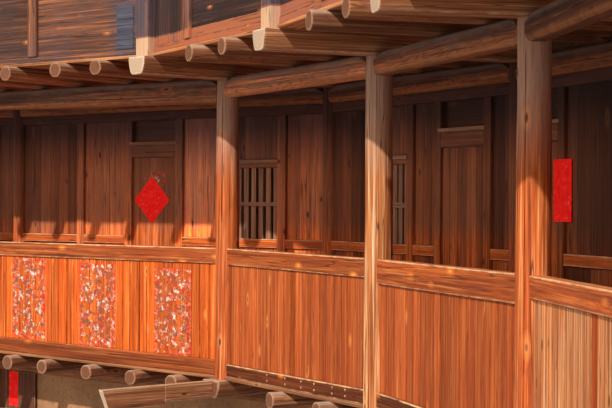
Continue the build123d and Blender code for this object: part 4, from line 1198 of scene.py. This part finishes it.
def upperTimbers():
    sills, rails, stiles, planks, uprights = [], [], [], [], []
    line = -gallery["projection"]
    depth, stile, plank = upperParapet["depth"], upperParapet["stile"], upperParapet["plank"]
    plankFace = line - upperParapet["plankFace"]
    sillTop, railBottom = level["upperSillTop"], level["upperRailBottom"]
    for bay in bays:
        # Bays from the third on get a painted sunlit foot
        sunlitFootBay = bay > 1
        left, right = lineEnds(bay, line, upperParapet["inset"])
        # In those bays the sill's tone gives it the painted sunlit colour
        sills.append(layAlong(bay, left, right, line, level["upperFloor"], sillTop, depth,
                              tone=3.5 if sunlitFootBay else 0.0))
        rails.append(layAlong(bay, left, right, line, railBottom, level["upperRailTop"], depth, rounding=0.009))
        place = lineEnds(bay, line)[1] - upperParapet["stilePlaces"][bay] - stile / 2
        stiles.append(layUpright(bay, place, place + stile, sillTop, railBottom, line - upperParapet["stileFace"],
                                 upperParapet["stileDepth"], ringStep=0.02))
        if sunlitFootBay:
            stiles[-1] = paintSunlitFoot(stiles[-1])
        for a, b in ((left, place), (place + stile, right)):
            # The left field of the third bay has upright boards, darkened as painted shade, with a painted sunlit foot
            if bay == 2 and a == left:
                planks += [paintSunlitFoot(part) for part in fillBoards(
                    bay, a, b, sillTop, railBottom, plankFace, plank, 0.11, shade=-1.8, ringStep=0.02)]
                continue
            foot = upperParapet["footTop"] if sunlitFootBay else sillTop
            strips = [(sillTop, foot)] * sunlitFootBay + splitBoards(foot, railBottom, 0.15, -0.002, next(seeds))
            for low, high in strips:
                draw = np.random.default_rng(next(seeds))
                # Painted shade from the storey above; the foot strip gets the painted sunlit tone
                shade = upperParapet["shades"][bay] + upperParapet["firstShade"] * (bay == 1 and a == left)
                shade += upperParapet["footTone"] * (sunlitFootBay and low < foot)
                planks.append(layAlong(
                    bay, a, b, plankFace + plank / 2, low, high, plank, rounding=0.003,
                    tone=draw.uniform(-0.4, 0.4) + shade, pith=(draw.uniform(0.03, 0.1), draw.uniform(-0.06, 0.06))))
    section = boxSection(upperParapet["postWidth"], upperParapet["postDepth"], 0.010)
    for post in posts:
        upright = standAtPost(post, line - upperParapet["postAdvance"], level["upperDeck"], level["upperPostTop"],
                              section, 600 + post, ringStep=0.02, waver=0.002, cracks=((0.62, 0.1, 0.9, 0.012, 0.005),))
        # From the third post on, the foot of each upper post is painted sunlit
        uprights.append(paintSunlitFoot(upright, upperParapet["postSunlitFootTone"]) if post > 1 else upright)
    return sills, rails, stiles, planks, uprights


upperParts = upperTimbers()
for pieceName, parts, node in zip(
    ("upperSills", "upperRails", "upperStiles", "upperPlanks", "upperPosts"), upperParts,
    ("upper_sills", "upper_rails", "upper_stiles", "upper_planks", "upper_posts"),
):
    addPiece(pieceName, parts, upperWood, "upper_timber", node)
patch = upperParapet["patch"]
patchFace = -gallery["projection"] - upperParapet["plankFace"] - patch["thickness"] + 0.001
patchBoards = [layAlong(1, patch["left"], patch["right"], patchFace + patch["thickness"] / 2, low, high,
                        patch["thickness"], rounding=0.002, ringStep=0.05)
               for low, high in splitBoards(patch["low"], patch["high"], 0.12, 0.0, 5)]
addPiece("patchBoards", patchBoards, slateWood, "upper_timber")
print("upper parapet is built")

arm = {"post": 2, "joint": 0.640, "reach": 1.235, "thickness": 0.056, "innerDepth": 0.140, "outerDepth": 0.170,
       "slant": 0.066}


def armTimbers():
    # Two planks on edge that run out from a floor beam's end, the outer one deeper and cut off at a slant
    outward = -awayFrom(postHeadings[arm["post"]])
    foot = frontPoints[arm["post"]] + up * (level["deck"] - gallery["sunk"][arm["post"]])

    def plank(near, far, depth, lean, seed):
        middle = foot - up * depth / 2
        return timberGrid({
            "start": middle + outward * near, "end": middle + outward * (far - lean / 2), "upright": up,
            "section": boxSection(arm["thickness"], depth, 0.006), "seed": seed, "waver": 0.002, "ringStep": 0.04,
            "spacing": 0.03, "endRounding": 0.003, "tilt": (0.0, lean / depth), "pith": (0.05, 0.01),
            "cracks": ((0.62, 0.3, 1.1, 0.012, 0.004), (0.66, 0.1, 0.7, 0.009, 0.003))})

    near = -lowerFront / math.cos(math.radians(gallery["halfTurns"][arm["post"]]))
    return (plank(near, arm["joint"], arm["innerDepth"], 0.0, 771),
            plank(arm["joint"], arm["reach"], arm["outerDepth"], arm["slant"], 787))


innerPlank, outerPlank = armTimbers()
addPiece("armInnerPlank", [innerPlank], armWood, "joist_timber", "arm_inner_plank")
addPiece("armOuterPlank", [outerPlank], armWood, "joist_timber", "arm_outer_plank")

wallBelow = {
    "face": 0.690, "thickness": 0.240, "height": 0.400, "postWidth": 0.150, "postFace": 0.655,
    "doorFrame": (0.385, 0.635), "frameDepth": 0.150, "doorBoards": (0.0, 0.385), "doorBoardFace": 0.730,
    "doorBoard": 0.036, "unevenness": 0.006,
}


def wallTimbers():
    # The plaster of each bay as one thick slab with an uneven face, mitred beside square posts
    slabs, uprights = [], []
    face, thickness, height = wallBelow["face"], wallBelow["thickness"], wallBelow["height"]
    middle, half = face + thickness / 2, wallBelow["postWidth"] / 2
    for bay in bays:
        # The mitre takes more of the slab than half a post's width
        clear = [half / math.cos(math.radians(gallery["halfTurns"][post])) for post in (bay, bay + 1)]
        left, right = lineEnds(bay, middle)
        left, leftTurn = left + clear[0], -tangent(bay)
        if bay == 1:
            left, leftTurn = wallBelow["doorFrame"][1], 0.0
        slab = layAlong(bay, left, right - clear[1], middle, 0.0, height - 0.002, thickness,
                        slant=(leftTurn, tangent(bay + 1)), waver=wallBelow["unevenness"], ringStep=0.04,
                        spacing=0.04, endRounding=0.003)
        slab[0][:, 2] = np.maximum(slab[0][:, 2], 0.0)
        slabs.append(slab)
    depth = face + thickness - wallBelow["postFace"]
    for post in posts:
        top = level["postHead"] - gallery["storey"] - gallery["sunk"][post]
        uprights.append(standAtPost(post, wallBelow["postFace"] + depth / 2, 0.0, top,
                                    boxSection(wallBelow["postWidth"], depth, 0.006), 640 + post, waver=0.002,
                                    cracks=((0.6, 0.1, 0.9, 0.012, 0.005),)))
    return slabs, uprights


wallSlabs, lowerPosts = wallTimbers()
addPiece("wallBelow", wallSlabs, plaster, "plaster", "lower_wall")
addPiece("lowerPosts", lowerPosts, lowerBoardWood, "post_timber", "lower_posts")
doorFrame = layUpright(1, *wallBelow["doorFrame"], 0.0, wallBelow["height"], wallBelow["postFace"],
                       wallBelow["frameDepth"])
addPiece("lowerDoorFrame", [doorFrame], lowerBoardWood, "room_timber", "lower_door_frame")
doorBoards = fillBoards(1, *wallBelow["doorBoards"], 0.0, wallBelow["height"], wallBelow["doorBoardFace"],
                        wallBelow["doorBoard"], 0.13)
addPiece("lowerDoorBoards", doorBoards, lowerBoardWood, "room_timber", "lower_door_boards")
for node in ("floor_infill", "ceiling_infill"):
    nodes[node].data.materials.clear()
    nodes[node].data.materials.append(infillWood)
print("arm and wall below are built")
